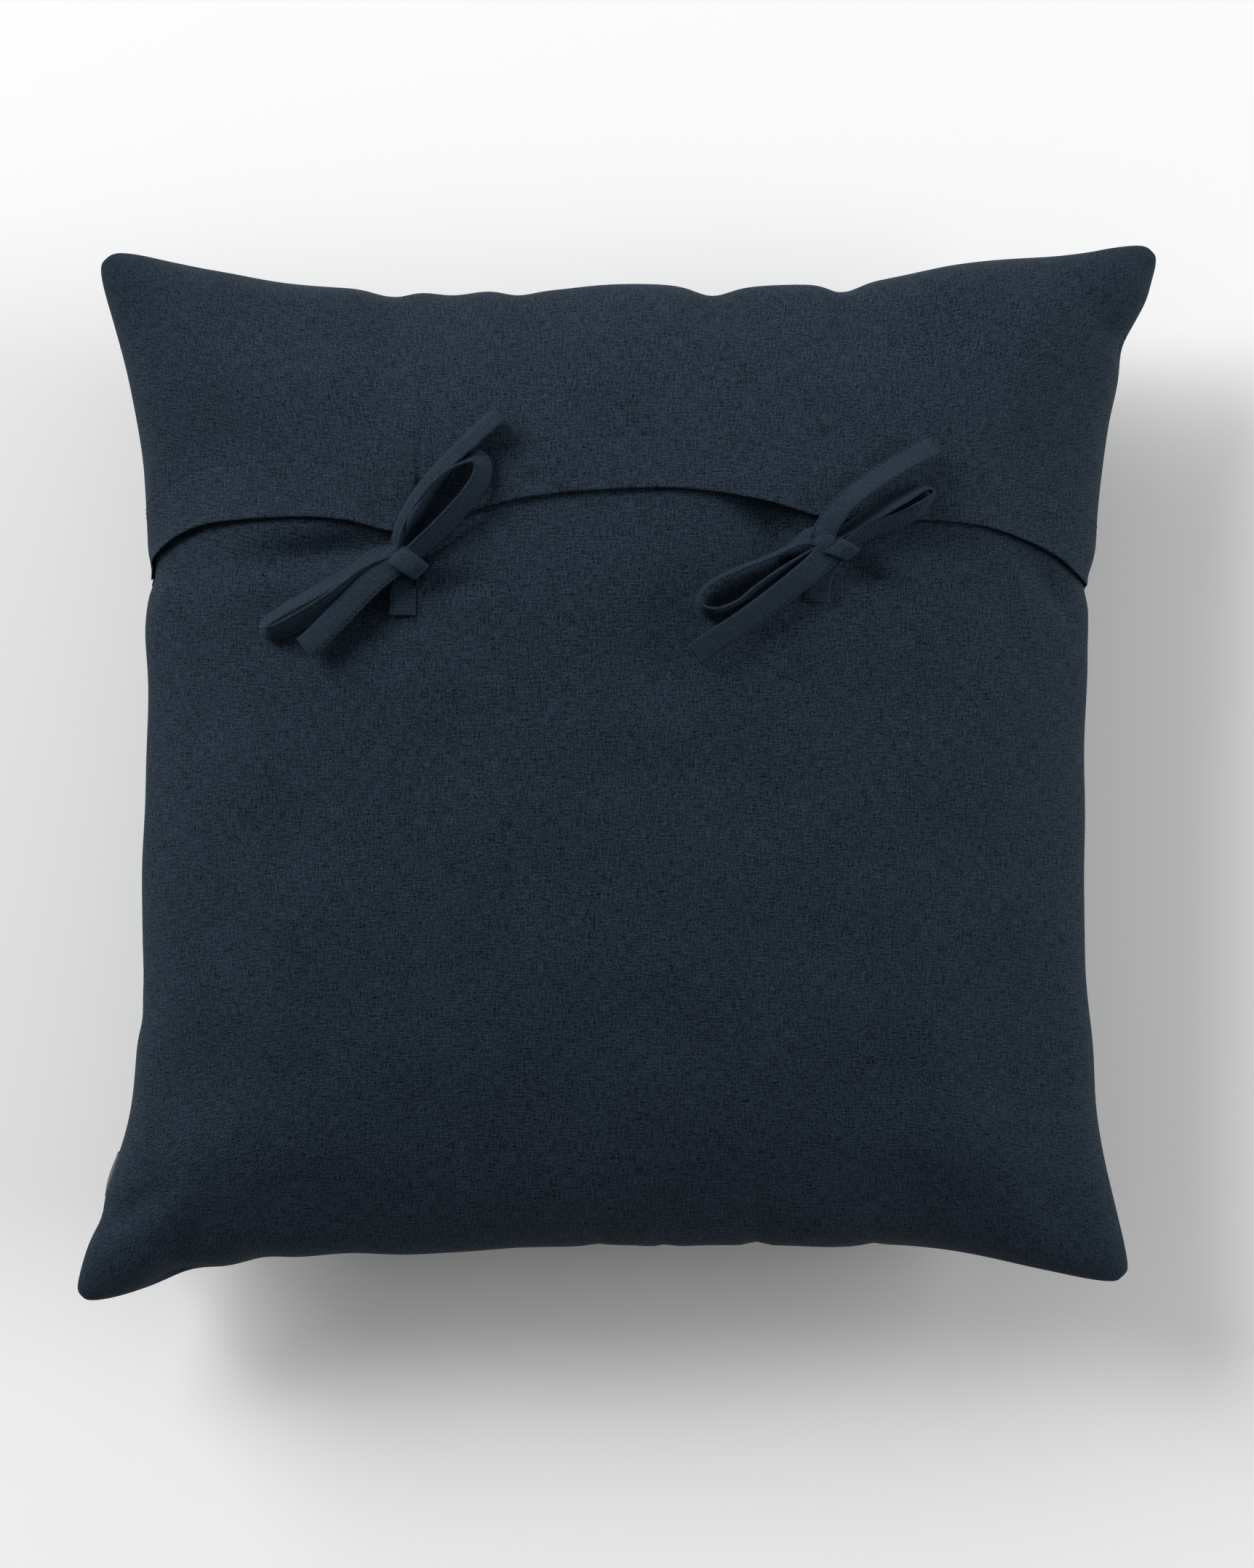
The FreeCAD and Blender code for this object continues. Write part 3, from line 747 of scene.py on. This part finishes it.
def flap_heights(t, s):
    """How far the flap's skin and lining lie over the cover's surface."""
    points = at("top", t, s)
    x = points[..., 0]
    past_edge = (s - edge_place(t)) * METRES
    fade = sides_fade(t, FLAP_END_FADE)
    hem = smooth((FLAP_HEM + 0.0010 - past_edge) / 0.0030)
    step = smooth((FLAP_HEM + 0.0040 - past_edge) / 0.0100)
    rounded = np.sqrt(np.clip(1 - (1 - np.clip(past_edge / FLAP_CLOTH, 0, 1)) ** 2, 0, 1))
    thick = (FLAP_CLOTH + HEM_EXTRA * hem) * fade + CLOTH * (1 - fade)
    middle = FLAP_RISE * smooth((0.06 - past_edge) / 0.05) + STEP_RISE * (step - hem)
    middle = middle + flap_lift(x) * np.exp(-np.clip(past_edge, 0, 1) / 0.009)
    middle = middle + TIE_PATCH_RISE * tie_patch(x, past_edge) - RIPPLE * bell(past_edge - FLAP_HEM, 0.0009)
    middle = middle + RIPPLE * hem * np.sin(x * 210 + 1.3) * bell(past_edge - 0.012, 0.012)
    middle = middle * fade + FLAP_END_LEVEL * (1 - fade)
    middle = middle + seams_fade(t, s, WAVE_FADE) * (puckered(points, TOP_PUCKERS) + slack(points))
    middle = middle + seam_groove(t, s)
    return middle + thick / 2 * rounded, middle - thick / 2 * rounded


def back_upper_panel():
    places = crowded(260, NEAR_SEAM)
    near = edge_place(places)[:, None] + np.array(HEM_STEPS) / METRES
    at_seam = 1 - np.array(NEAR_SEAM[1:-2]) / METRES / FLAP_SPAN
    rest = np.sort(np.concatenate([np.linspace(0, 1, 50)[1:-1], at_seam, [1]]))
    far = near[:, -1:] + rest * (1 - near[:, -1:])
    s = np.concatenate([near, far], axis=1)
    t = np.repeat(places[:, None], s.shape[1], axis=1)
    skin, lining = flap_heights(t, s)
    return layer("back_upper_panel_cloth", "top", t, s, skin, lining)


def on_cover(x, y, height):
    """Points at a height over the top of the cover, flap and puckers included, at places seen from above."""
    x, y = np.asarray(x, float), np.asarray(y, float)
    t, s = find(x, y)
    points = at("top", t, s)
    skin, _ = flap_heights(t, s)
    points[..., 2] += np.where(s > edge_place(t), skin, puckered(points, PUCKERS)) + height
    return points


# ---------------- stitches

HEM_STITCH = (0.0022, 0.00055, 0.0004, 0.0031)  # length, width, height and spacing
BOX_STITCH = (0.0017, 0.0005, 0.0004, 0.0024)
TIE_STITCH = (0.0021, 0.0005, 0.0004, 0.0030)
STITCH_SIDES = 6


def stitch_row(points, outward, stitch):
    """The points and faces of small rounded stitches along a line."""
    length, width, height, spacing = stitch
    along = path_lengths(points)
    count = max(int(along[-1] / spacing), 1)
    one_faces = tube_faces(3, STITCH_SIDES)
    verts, faces = [], []
    for number in range(count):
        middle = (number + 0.5) * along[-1] / count
        places = [middle - length / 2, middle, middle + length / 2]
        ends = np.stack([np.interp(places, along, points[:, k]) for k in range(3)], -1)
        up = unit(np.array([np.interp(middle, along, outward[:, k]) for k in range(3)]))
        aside = np.cross(unit(ends[2] - ends[0]), up)
        faces += [[corner + len(verts) for corner in face] for face in one_faces]
        for end, rise, wide in zip(ends, (-0.3, 1.0, -0.3), (0.6, 1.0, 0.6)):
            for angle in np.arange(STITCH_SIDES) * math.tau / STITCH_SIDES:
                verts.append(end + aside * math.cos(angle) * width / 2 * wide
                             + up * (math.sin(angle) + rise) * height / 2)
    return verts, faces


def stitched(name, lines, stitch):
    return joined(name, [(*stitch_row(*line, stitch), None, 0) for line in lines], [THREAD])


def flap_hem_line():
    t = np.linspace(-0.996, 0.996, 400)
    s = edge_place(t) + FLAP_HEM / METRES
    skin, _ = flap_heights(t, s)
    outward = normals("top", t, s)
    return at("top", t, s) + outward * skin[:, None], outward


LOWER_STITCH_DEPTH = 0.0018


def lower_hem_line():
    t = np.linspace(-0.99, 0.99, 400)
    s = edge_place(t) + (OVERLAP - LOWER_HEM) / METRES
    outward = normals("top", t, s)
    points = at("top", t, s)
    rise = puckered(points, TOP_PUCKERS) + slack(points) - LOWER_STITCH_DEPTH
    return points + outward * (rise * sides_fade(t, WAVE_FADE))[:, None], outward


# ---------------- strips of tie

TIE_WIDTH = 0.014
TIE_THICKNESS = 0.0017

# Across a strip, as shares of its width from -0.5 to 0.5: its line of stitches, and where a fold starts.
STITCH_PLACE = 0.393
FOLD_START = 0.08

FRAYS = 26
FRAY_HALF = 0.00016
FRAY_FACES = [[0, 1, 3], [1, 2, 3], [2, 0, 3], [0, 2, 1]]


def strip_outline(fold, hollow):
    """The strip's section, once round: places across it and heights."""
    across = np.array([-0.5, -0.485, -0.45, -0.36, -0.24, -0.12, 0.0, 0.12, 0.24, 0.34,
                       0.372, 0.393, 0.414, 0.45, 0.485, 0.5])
    edge = np.sqrt(np.clip(1 - (np.clip(np.abs(across) - 0.44, 0, 1) / 0.06) ** 2, 0, 1))
    groove = bell(across - STITCH_PLACE, 0.022) * 0.30
    bend = -fold * np.clip(across - FOLD_START, 0, 1) + hollow * (across ** 2)
    upper = bend * TIE_WIDTH + TIE_THICKNESS / 2 * (edge - groove)
    lower = bend * TIE_WIDTH - TIE_THICKNESS / 2 * (edge - groove)
    return TIE_WIDTH * np.concatenate([across, across[-2:0:-1]]), np.concatenate([upper, lower[-2:0:-1]])


def strip_ways(path, leans, count):
    """A strip's middle line, and its ways ahead, across and out of its face."""
    both = through(np.concatenate([path, np.asarray(leans, float)[:, None]], axis=1), count)
    points, lean = both[:, :3], np.radians(both[:, 3:])
    ahead = unit(np.gradient(points, axis=0))
    left = unit(np.cross(UP, ahead))
    wide = left * np.cos(lean) + np.cross(ahead, left) * np.sin(lean)
    return points, ahead, wide, np.cross(ahead, wide)


def cloth_along(points, across):
    """Where the rings of points round a path lie in its cloth, for the threads."""
    along = np.repeat(path_lengths(points), len(across))
    return np.stack([np.tile(across, len(points)), along, np.zeros_like(along)], -1).tolist()


def fray(random, end, ahead, wide, face, width):
    """One loose thread that sticks out of a strip's cut end."""
    start = end + wide * random.uniform(-0.5, 0.5) * width - ahead * 0.001
    start = start + face * random.uniform(-0.5, 0.5) * TIE_THICKNESS * 0.7
    reach = random.uniform(0.0014, 0.0030)
    drift = wide * random.uniform(-0.5, 0.5) + face * random.uniform(-0.3, 0.3)
    aside, outwards = wide * FRAY_HALF, face * FRAY_HALF
    return [start + aside, start + outwards, start - aside - outwards, start + (ahead + drift) * reach]


def strip(name, path, leans, fold=0.0, hollow=0.0, frayed=False, count=90, narrow=None):
    """A flat sewn strip along a path. A lean of 0 lies flat, 90 stands on edge with its left edge up."""
    points, ahead, wide, face = strip_ways(path, leans, count)
    across, heights = strip_outline(fold, hollow)
    narrowing = np.ones(count) if narrow is None else np.interp(np.linspace(0, 1, count), *narrow)
    verts = (points[:, None] + wide[:, None] * across[:, None] * narrowing[:, None, None]
             + face[:, None] * heights[:, None])
    parts = [(verts.reshape(-1, 3), tube_faces(count, len(across), True), cloth_along(points, across), 0)]
    line = points + wide * (STITCH_PLACE * TIE_WIDTH * narrowing)[:, None]
    bend = -fold * (STITCH_PLACE - FOLD_START) * TIE_WIDTH
    for sign in (1, -1):
        row = stitch_row(line + face * (bend + sign * TIE_THICKNESS * 0.36), face * sign, TIE_STITCH)
        parts.append((*row, None, 1))
    if frayed:
        random = np.random.default_rng(len(name) + int(abs(points[-1, 0]) * 1e4))
        for _ in range(FRAYS):
            thread = fray(random, points[-1], ahead[-1], wide[-1], face[-1], TIE_WIDTH)
            parts.append((thread, FRAY_FACES, None, 2))
    obj = joined(name, parts, [TIE, THREAD, FRAY])
    obj["strip_length"] = float(path_lengths(points)[-1])
    return obj


# The arms of the bows. Each point is millimetres right of and above the knot's middle as seen from over the
# cushion, millimetres over the cover, and the lean in degrees. Then come the strip's fold and hollow.
ARMS = {
    "left_upper_tail": ([
        (-2.5, 3, 9, -15), (-5.5, 13, 10, -28), (-0.6, 27, 12.5, -34), (9.3, 42, 14.5, -32),
        (22.2, 56.2, 15, -28), (36.2, 69.6, 14.5, -24), (48.5, 80.8, 13.5, -22)], 1.15, 0.0),
    "left_upper_loop": ([
        (-1.0, 4, 9, 50), (1.0, 15, 11, 54), (9.5, 31, 12.5, 60), (20.0, 45.0, 12.5, 76),
        (29.5, 53.5, 12, 104), (37.0, 56.5, 11.5, 124), (41.0, 51.5, 11, 130), (38.9, 42.5, 11, 132),
        (30.1, 30.5, 10.5, 132), (17.8, 17.5, 10, 132), (5.5, 6.5, 9, 128), (1.0, 2.5, 8, 120)], 0.0, 0.0),
    "left_lower_loop": ([
        (-3, 4.5, 8, 50), (-15.3, 4.2, 10.5, 52), (-28.5, -4.6, 11.5, 58), (-44.0, -13.6, 11.5, 60),
        (-62.7, -23.6, 11, 62), (-74.0, -30.6, 10.5, 66), (-77.0, -35.0, 10, 64), (-71.0, -37.4, 10, 56),
        (-53.2, -29.0, 10.5, 50), (-38, -19.4, 11, 50), (-20, -6.3, 10.5, 52), (-5, 0.0, 8, 56)], 0.0, 0.0),
    "left_lower_tail": ([
        (-1.5, 2, 13, 5), (-8.7, -2.6, 14, 12), (-20.1, -12.4, 14, 15), (-33.3, -25.7, 13, 15),
        (-45.6, -38.0, 12.5, 14), (-54.6, -46.2, 12, 12)], 0.1, -0.12),
    "right_upper_tail": ([
        (-6.5, 4.5, 14, -10), (-3.0, 13.5, 13.5, -26), (7.0, 26.0, 13.5, -36), (21.0, 37.0, 14, -38),
        (37.5, 47.5, 14, -34), (54.0, 57.0, 13.5, -28)], 0.1, -0.1),
    "right_upper_loop": ([
        (2.5, 5, 8, 120), (12.0, 13.4, 8.5, 118), (26.1, 21.0, 9, 116), (39.0, 28.2, 9.5, 112),
        (48.5, 33.2, 9.5, 102), (53.5, 31.8, 9, 90), (53.0, 27.5, 9, 96), (46.5, 21.6, 9, 118),
        (35.6, 16.0, 9, 124), (21.4, 11.0, 8.5, 124), (8.0, 4.5, 8, 120), (3.0, 1.5, 8, 120)], 0.0, 0.0),
    "right_lower_loop": ([
        (-3.5, 6.5, 12, 20), (-13.5, 6.5, 11.5, 50), (-23.0, 1.2, 10.5, 78), (-34.5, -4.6, 10, 82),
        (-49.6, -10.6, 10, 82), (-63.5, -17.2, 10, 82), (-71.5, -24.8, 9.5, 82), (-70.5, -32.0, 9, 78),
        (-62.5, -35.0, 9, 66), (-50.5, -31.5, 9, 58), (-41.0, -24.2, 9, 56), (-29.0, -15.5, 9, 56),
        (-13.6, -6.0, 8.5, 56), (-3, 0.0, 7, 56)], 0.0, 0.0),
    "right_lower_tail": ([
        (1.5, 2.5, 12.5, -10), (-4.0, -3.6, 13, -16), (-14.2, -13.2, 13, -22), (-30.7, -26.6, 12.5, -24),
        (-49.6, -40.6, 12, -24), (-63.8, -50.0, 11.5, -22), (-74.5, -57.8, 11, -18)], 0.0, -0.1),
}


def arm(name):
    rows, fold, hollow = ARMS[name]
    rows = np.array(rows, float)
    looped = name.endswith("loop")
    places = KNOTS[name.split("_")[0]] + rows[:, :2] / 1000
    path = on_cover(places[:, 0], places[:, 1], rows[:, 2] / 1000)
    count = 150 if looped else 90
    return strip(f"{name}_strip", path, rows[:, 3], fold, hollow, frayed=not looped, count=count)


# The turn of each bow's line in degrees, and the two bands wrapped round its middle: the ring's turn from it,
# half its width and height, its shift right and up, its height over the cover, and the band's width and
# thickness in millimetres.
BOW_LINE = {"left": 42, "right": 36}
BANDS = {
    "left": [(12, 8.2, 6.9, (0.9, -0.7), 8.5, 12.5, 2.8), (40, 6.4, 5.6, (-4.5, 4.5), 8.0, 7.5, 2.4)],
    "right": [(30, 7.4, 6.8, (2.9, 0.2), 8.5, 10.8, 2.8), (-18, 6.4, 6.2, (-4.2, 2.6), 9.0, 11.2, 2.6)],
}
BAND_SIDES = 14


def ring_points(side, turn_degrees, half_wide, half_high, shift, height):
    """A ring round a bow's middle, square to the line of the bow."""
    turn = math.radians(turn_degrees)
    square = np.array([-math.sin(turn), math.cos(turn), 0])
    x, y = KNOTS[side] + np.array(shift) / 1000
    middle = on_cover(np.array([x]), np.array([y]), np.array([height / 1000]))[0]
    angle = np.arange(25)[:, None] * math.tau / 24 - 0.6
    return middle + (square * np.cos(angle) * half_wide + UP * np.sin(angle) * half_high) / 1000


def wrap(ring, along, width, thickness):
    """A band round a bow: its points, its faces and its places in the cloth."""
    points = through(ring, 64)
    ahead = unit(np.gradient(points, axis=0))
    wide = np.broadcast_to(along, points.shape)
    wide = unit(wide - ahead * np.sum(wide * ahead, axis=1, keepdims=True))
    face = np.cross(ahead, wide)
    angle = np.arange(BAND_SIDES) * math.tau / BAND_SIDES
    across = np.sign(np.cos(angle)) * np.abs(np.cos(angle)) ** 0.5 * width / 2
    out = np.sign(np.sin(angle)) * np.abs(np.sin(angle)) ** 0.8 * thickness / 2
    swell = 1 + 0.06 * np.sin(np.linspace(0, 3 * math.pi, len(points)))
    verts = (points[:, None] + wide[:, None] * across[:, None] * swell[:, None, None]
             + face[:, None] * out[:, None])
    return verts.reshape(-1, 3), tube_faces(len(points), BAND_SIDES), cloth_along(points, across)


def knot(side):
    turn = math.radians(BOW_LINE[side])
    along = np.array([math.cos(turn), math.sin(turn), 0])
    parts = []
    for from_line, half_wide, half_high, shift, height, width, thickness in BANDS[side]:
        ring = ring_points(side, BOW_LINE[side] + from_line, half_wide, half_high, shift, height)
        parts.append((*wrap(ring, along, width / 1000, thickness / 1000), 0))
    return joined(f"{side}_knot_wrap", parts, [TIE])


# How the sewn ends of the lower ties sit beside the knots' middles, in metres.
LOWER_END_SHIFT = {"left": -0.002, "right": -0.0085}


def lower_tie_end(side):
    """The sewn end of a lower tie, and the strip from it up to the knot."""
    low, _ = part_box(f"{side}_lower_tie_end")
    x, y = KNOTS[side]
    end_x = x + LOWER_END_SHIFT[side]
    ends = np.array([(end_x, low[1] + 0.0005, 0.0019), (end_x, low[1] + 0.006, 0.0017),
                     (end_x, low[1] + 0.011, 0.0018), (end_x * 0.6 + x * 0.4, low[1] + 0.018, 0.0028),
                     (x, y - 0.004, 0.0050), (x, y + 0.002, 0.0060)])
    path = on_cover(ends[:, 0], ends[:, 1], ends[:, 2])
    return strip(f"{side}_lower_tie_end_strip", path, [0] * len(path), count=60,
                 narrow=([0, 0.4, 1], [1, 1, 0.75]))


def upper_tie_end(side):
    """The sewn end of an upper tie under the flap's hem, and the strip from it down to the knot."""
    _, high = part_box(f"{side}_upper_tie_end")
    x, y = KNOTS[side]
    t, s = find(np.full(5, x), np.linspace(high[1] - 0.0005, y + KNOT_DROP + 0.001, 5))
    _, lining = flap_heights(t, s)
    under = at("top", t, s) + normals("top", t, s) * (lining - 0.0009)[:, None]
    out = on_cover([x, x], [y + 0.006, y + 0.001], np.array([0.004, 0.006]))
    path = np.concatenate([under, out])
    return strip(f"{side}_upper_tie_end_strip", path, [0] * len(path), count=60)


BOX_HALF = 0.0054
BOX_LENGTH = 0.010


def box_lines(x, start_y, raised):
    """The lines of the stitched box on a tie's sewn end, from the middle of its lower side."""
    left, right, end_y = x - BOX_HALF, x + BOX_HALF, start_y + BOX_LENGTH
    corners = [(left, start_y), (right, start_y), (right, end_y), (left, end_y), (left, start_y)]
    share = np.linspace(0, 1, 8)
    lines = []
    for (ax, ay), (bx, by) in zip(corners[:-1], corners[1:]):
        xs, ys = ax + (bx - ax) * share, ay + (by - ay) * share
        lines.append((on_cover(xs, ys, raised), normals("top", *find(xs, ys))))
    return lines


def upper_box_lines(side):
    _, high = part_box(f"{side}_upper_tie_end")
    return box_lines(KNOTS[side][0], high[1] - 0.012, 0.0001)


def lower_box_lines(side):
    low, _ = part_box(f"{side}_lower_tie_end")
    return box_lines(KNOTS[side][0] + LOWER_END_SHIFT[side], low[1] + 0.0018, 0.0026)


# ---------------- insert, seam threads and label

SEAM_THREAD_HALF = 0.0003
LABEL_THICKNESS = 0.0006
CASING_INSET = 0.009
CASING_CLOTH = 0.0011
FILLING_INSET = 0.0105


def inner_form(sign, inset, floor):
    """A grid of points of a layer inside the cover, never below a floor, and its cloth places."""
    steps = even_turns(61)
    t, s = np.meshgrid(steps, steps, indexing="ij")
    points = settled(form(t, s, sign, inset))
    points[..., 2] = np.maximum(points[..., 2], floor)
    return points, t, s


def insert_half(name, sign, floor):
    skin, t, s = inner_form(sign, CASING_INSET, floor)
    lining, _, _ = inner_form(sign, CASING_INSET + CASING_CLOTH, floor + 0.0008)
    if sign > 0:
        for points in (skin, lining):
            points[..., 2] += np.minimum(puckered(points, PUCKERS), 0)
    return closed_layer(name, skin, lining, INSERT, cloth_metres(t, s), sign < 0)


def filling_body(floor):
    upper, t, s = inner_form(1, FILLING_INSET, floor)
    lower, _, _ = inner_form(-1, FILLING_INSET, floor)
    index, under, inner = two_sided(len(upper))
    lumps = 0.0006 * np.sin(t * 37) * np.sin(s * 41) + np.minimum(puckered(upper, PUCKERS), 0)
    upper[inner, 2] += lumps[inner]
    return make_mesh("filling_body", np.concatenate([upper.reshape(-1, 3), lower[inner]]),
                     np.concatenate([grid_faces(index), grid_faces(under.T)]), [FILLING])


def ring_thread(name, inset, material):
    """The line of thread that closes a cover's side seam, just inside its edge."""
    side = np.linspace(-1, 1, 160)[:-1]
    one = np.ones_like(side)
    t = np.concatenate([side, one, -side, -one])
    s = np.concatenate([-one, side, one, -side])
    points = settled(form(t, s, 1, inset))
    points[:, 2] = SEAM
    ahead = unit(np.roll(points, -1, axis=0) - np.roll(points, 1, axis=0))
    aside = np.cross(ahead, UP)[:, None]
    angle = np.arange(6)[:, None] * math.tau / 6
    verts = points[:, None] + SEAM_THREAD_HALF * (aside * np.cos(angle) + UP * np.sin(angle))
    index = np.arange(len(points) * 6).reshape(len(points), 6)
    closed = np.concatenate([index, index[:1]])
    turned = np.roll(closed, -1, axis=1)
    faces = np.stack([closed[:-1], turned[:-1], turned[1:], closed[1:]], -1).reshape(-1, 4)
    return make_mesh(name, verts.reshape(-1, 3), faces, [material])


def care_label():
    """A folded blank label held in the side seam. It follows the seam, bulges out and hangs down from it."""
    low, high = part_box("care_label")
    side_line = at("top", -np.ones(400), np.linspace(-1, 1, 400))
    share = np.linspace(0, 1, 24)[:, None]
    across = np.linspace(-1, 1, 9)
    out = 0.0002 + 0.0030 * np.sin(share * 2.2) + 0.0006 * share
    y = (low[1] + high[1]) / 2 + across * (high[1] - low[1]) / 2 + np.zeros_like(share)
    seam_x = np.interp(y, side_line[:, 1], side_line[:, 0])
    x = seam_x + 0.0010 - out - 0.0006 * np.cos(across * 2.5) * share
    z = high[2] - 0.0005 - (high[2] - low[2]) * share + np.zeros_like(across)
    outer = np.stack([x, y, z], -1)
    return closed_layer("care_label_tape", outer, outer + np.array([LABEL_THICKNESS, 0, 0]), LABEL)


# ---------------- building the cushion

def placed(obj, node, body="cushion"):
    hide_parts(node)
    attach(obj, body)
    return obj


panels = [
    placed(front_panel(), "front_panel"),
    placed(back_lower_panel(), "back_lower_panel"),
    placed(back_upper_panel(), "back_upper_panel"),
    placed(insert_half("casing_top_cloth", 1, 0), "casing_top"),
    placed(insert_half("casing_bottom_cloth", -1, 0.0012), "casing_bottom"),
    placed(filling_body(0.0025), "filling"),
]

placed(stitched("flap_hem_stitches", [flap_hem_line()], HEM_STITCH), "flap_hem_stitching")
placed(stitched("lower_hem_stitches", [lower_hem_line()], HEM_STITCH), "lower_hem_stitching")
for level, lines in (("lower", lower_box_lines), ("upper", upper_box_lines)):
    boxes = lines("left") + lines("right")
    placed(stitched(f"{level}_tie_stitches", boxes, BOX_STITCH), f"{level}_tie_stitching")
placed(ring_thread("side_seam_thread_line", 0.0040, THREAD), "side_seam_thread")
placed(ring_thread("insert_seam_thread_line", 0.0130, INSERT_THREAD), "insert_seam_thread")

hinges = {joint["child"]: joint for joint in frame["joints"]}
for side in ("left", "right"):
    wrapped = placed(knot(side), f"{side}_knot")
    lower_end = placed(lower_tie_end(side), f"{side}_lower_tie_end")
    upper_end = placed(upper_tie_end(side), f"{side}_upper_tie_end")
    for level, end in (("upper", upper_end), ("lower", lower_end)):
        for kind in ("loop", "tail"):
            node = f"{side}_{level}_{kind}"
            piece = arm(node)
            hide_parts(node)
            hinge = np.array(hinges[node]["pos_m"])
            outwards = hinge[:2] - KNOTS[side]
            outwards = unit(outwards)
            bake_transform(piece)

label = care_label()
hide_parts("care_label")
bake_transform(label)


# ---------------- floor, light and camera

FLOOR_HALF = 6.0


def floor():
    corners = [(x * FLOOR_HALF, y * FLOOR_HALF, 0) for x, y in ((-1, -1), (1, -1), (1, 1), (-1, 1))]
    obj = make_mesh("floor", corners, [[0, 1, 2, 3]], [plain("pale_floor", (0.88, 0.88, 0.88), 0.9)])


def area_light(name, location, size, power):
    """A soft square light that faces the cushion."""
    light = bpy.data.lights.new(name, "AREA")
    light.size = size
    light.energy = power
    obj = bpy.data.objects.new(name, light)
    obj.location = location
    obj.rotation_euler = (-obj.location).to_track_quat("-Z", "Y").to_euler()
    bpy.context.scene.collection.objects.link(obj)


def lights():
    """A window, a pale wall, and light all round that is stronger near the horizon and the picture's top."""
    area_light("window", (-4.0, 3.4, 3.2), 3.1, 415)
    area_light("right_wall", (3.6, 0.3, 1.3), 2.4, 105)
    world = bpy.data.worlds.new("studio")
    bpy.context.scene.world = world
    world.use_nodes = True
    tree = world.node_tree
    direction = tree.nodes.new("ShaderNodeTexCoord")
    split = tree.nodes.new("ShaderNodeSeparateXYZ")
    tree.links.new(direction.outputs["Generated"], split.inputs[0])
    strength = plus(tree, times(tree, split.outputs[1], 0.26), 0.29)
    horizon = math_node(tree, "SUBTRACT", 1.0, math_node(tree, "DIVIDE", split.outputs[2], 0.16))
    horizon.node.use_clamp = True
    strength = plus(tree, strength, times(tree, horizon, 0.28))
    tree.links.new(strength, tree.nodes["Background"].inputs[1])
    tree.nodes["Background"].inputs[0].default_value = (1, 1, 1, 1)


CAMERA_ABOVE_SEAM = 2.42
CAMERA_ASIDE = (0.0063, -0.0070)  # from the cushion's middle to the middle of the picture


def camera():
    data = bpy.data.cameras.new("camera")
    data.lens = 100
    data.sensor_width = 36
    obj = bpy.data.objects.new("camera", data)
    obj.location = (*CAMERA_ASIDE, SEAM + CAMERA_ABOVE_SEAM)
    bpy.context.scene.collection.objects.link(obj)
    bpy.context.scene.camera = obj


floor()
lights()
camera()
bpy.context.scene.view_settings.view_transform = "Standard"
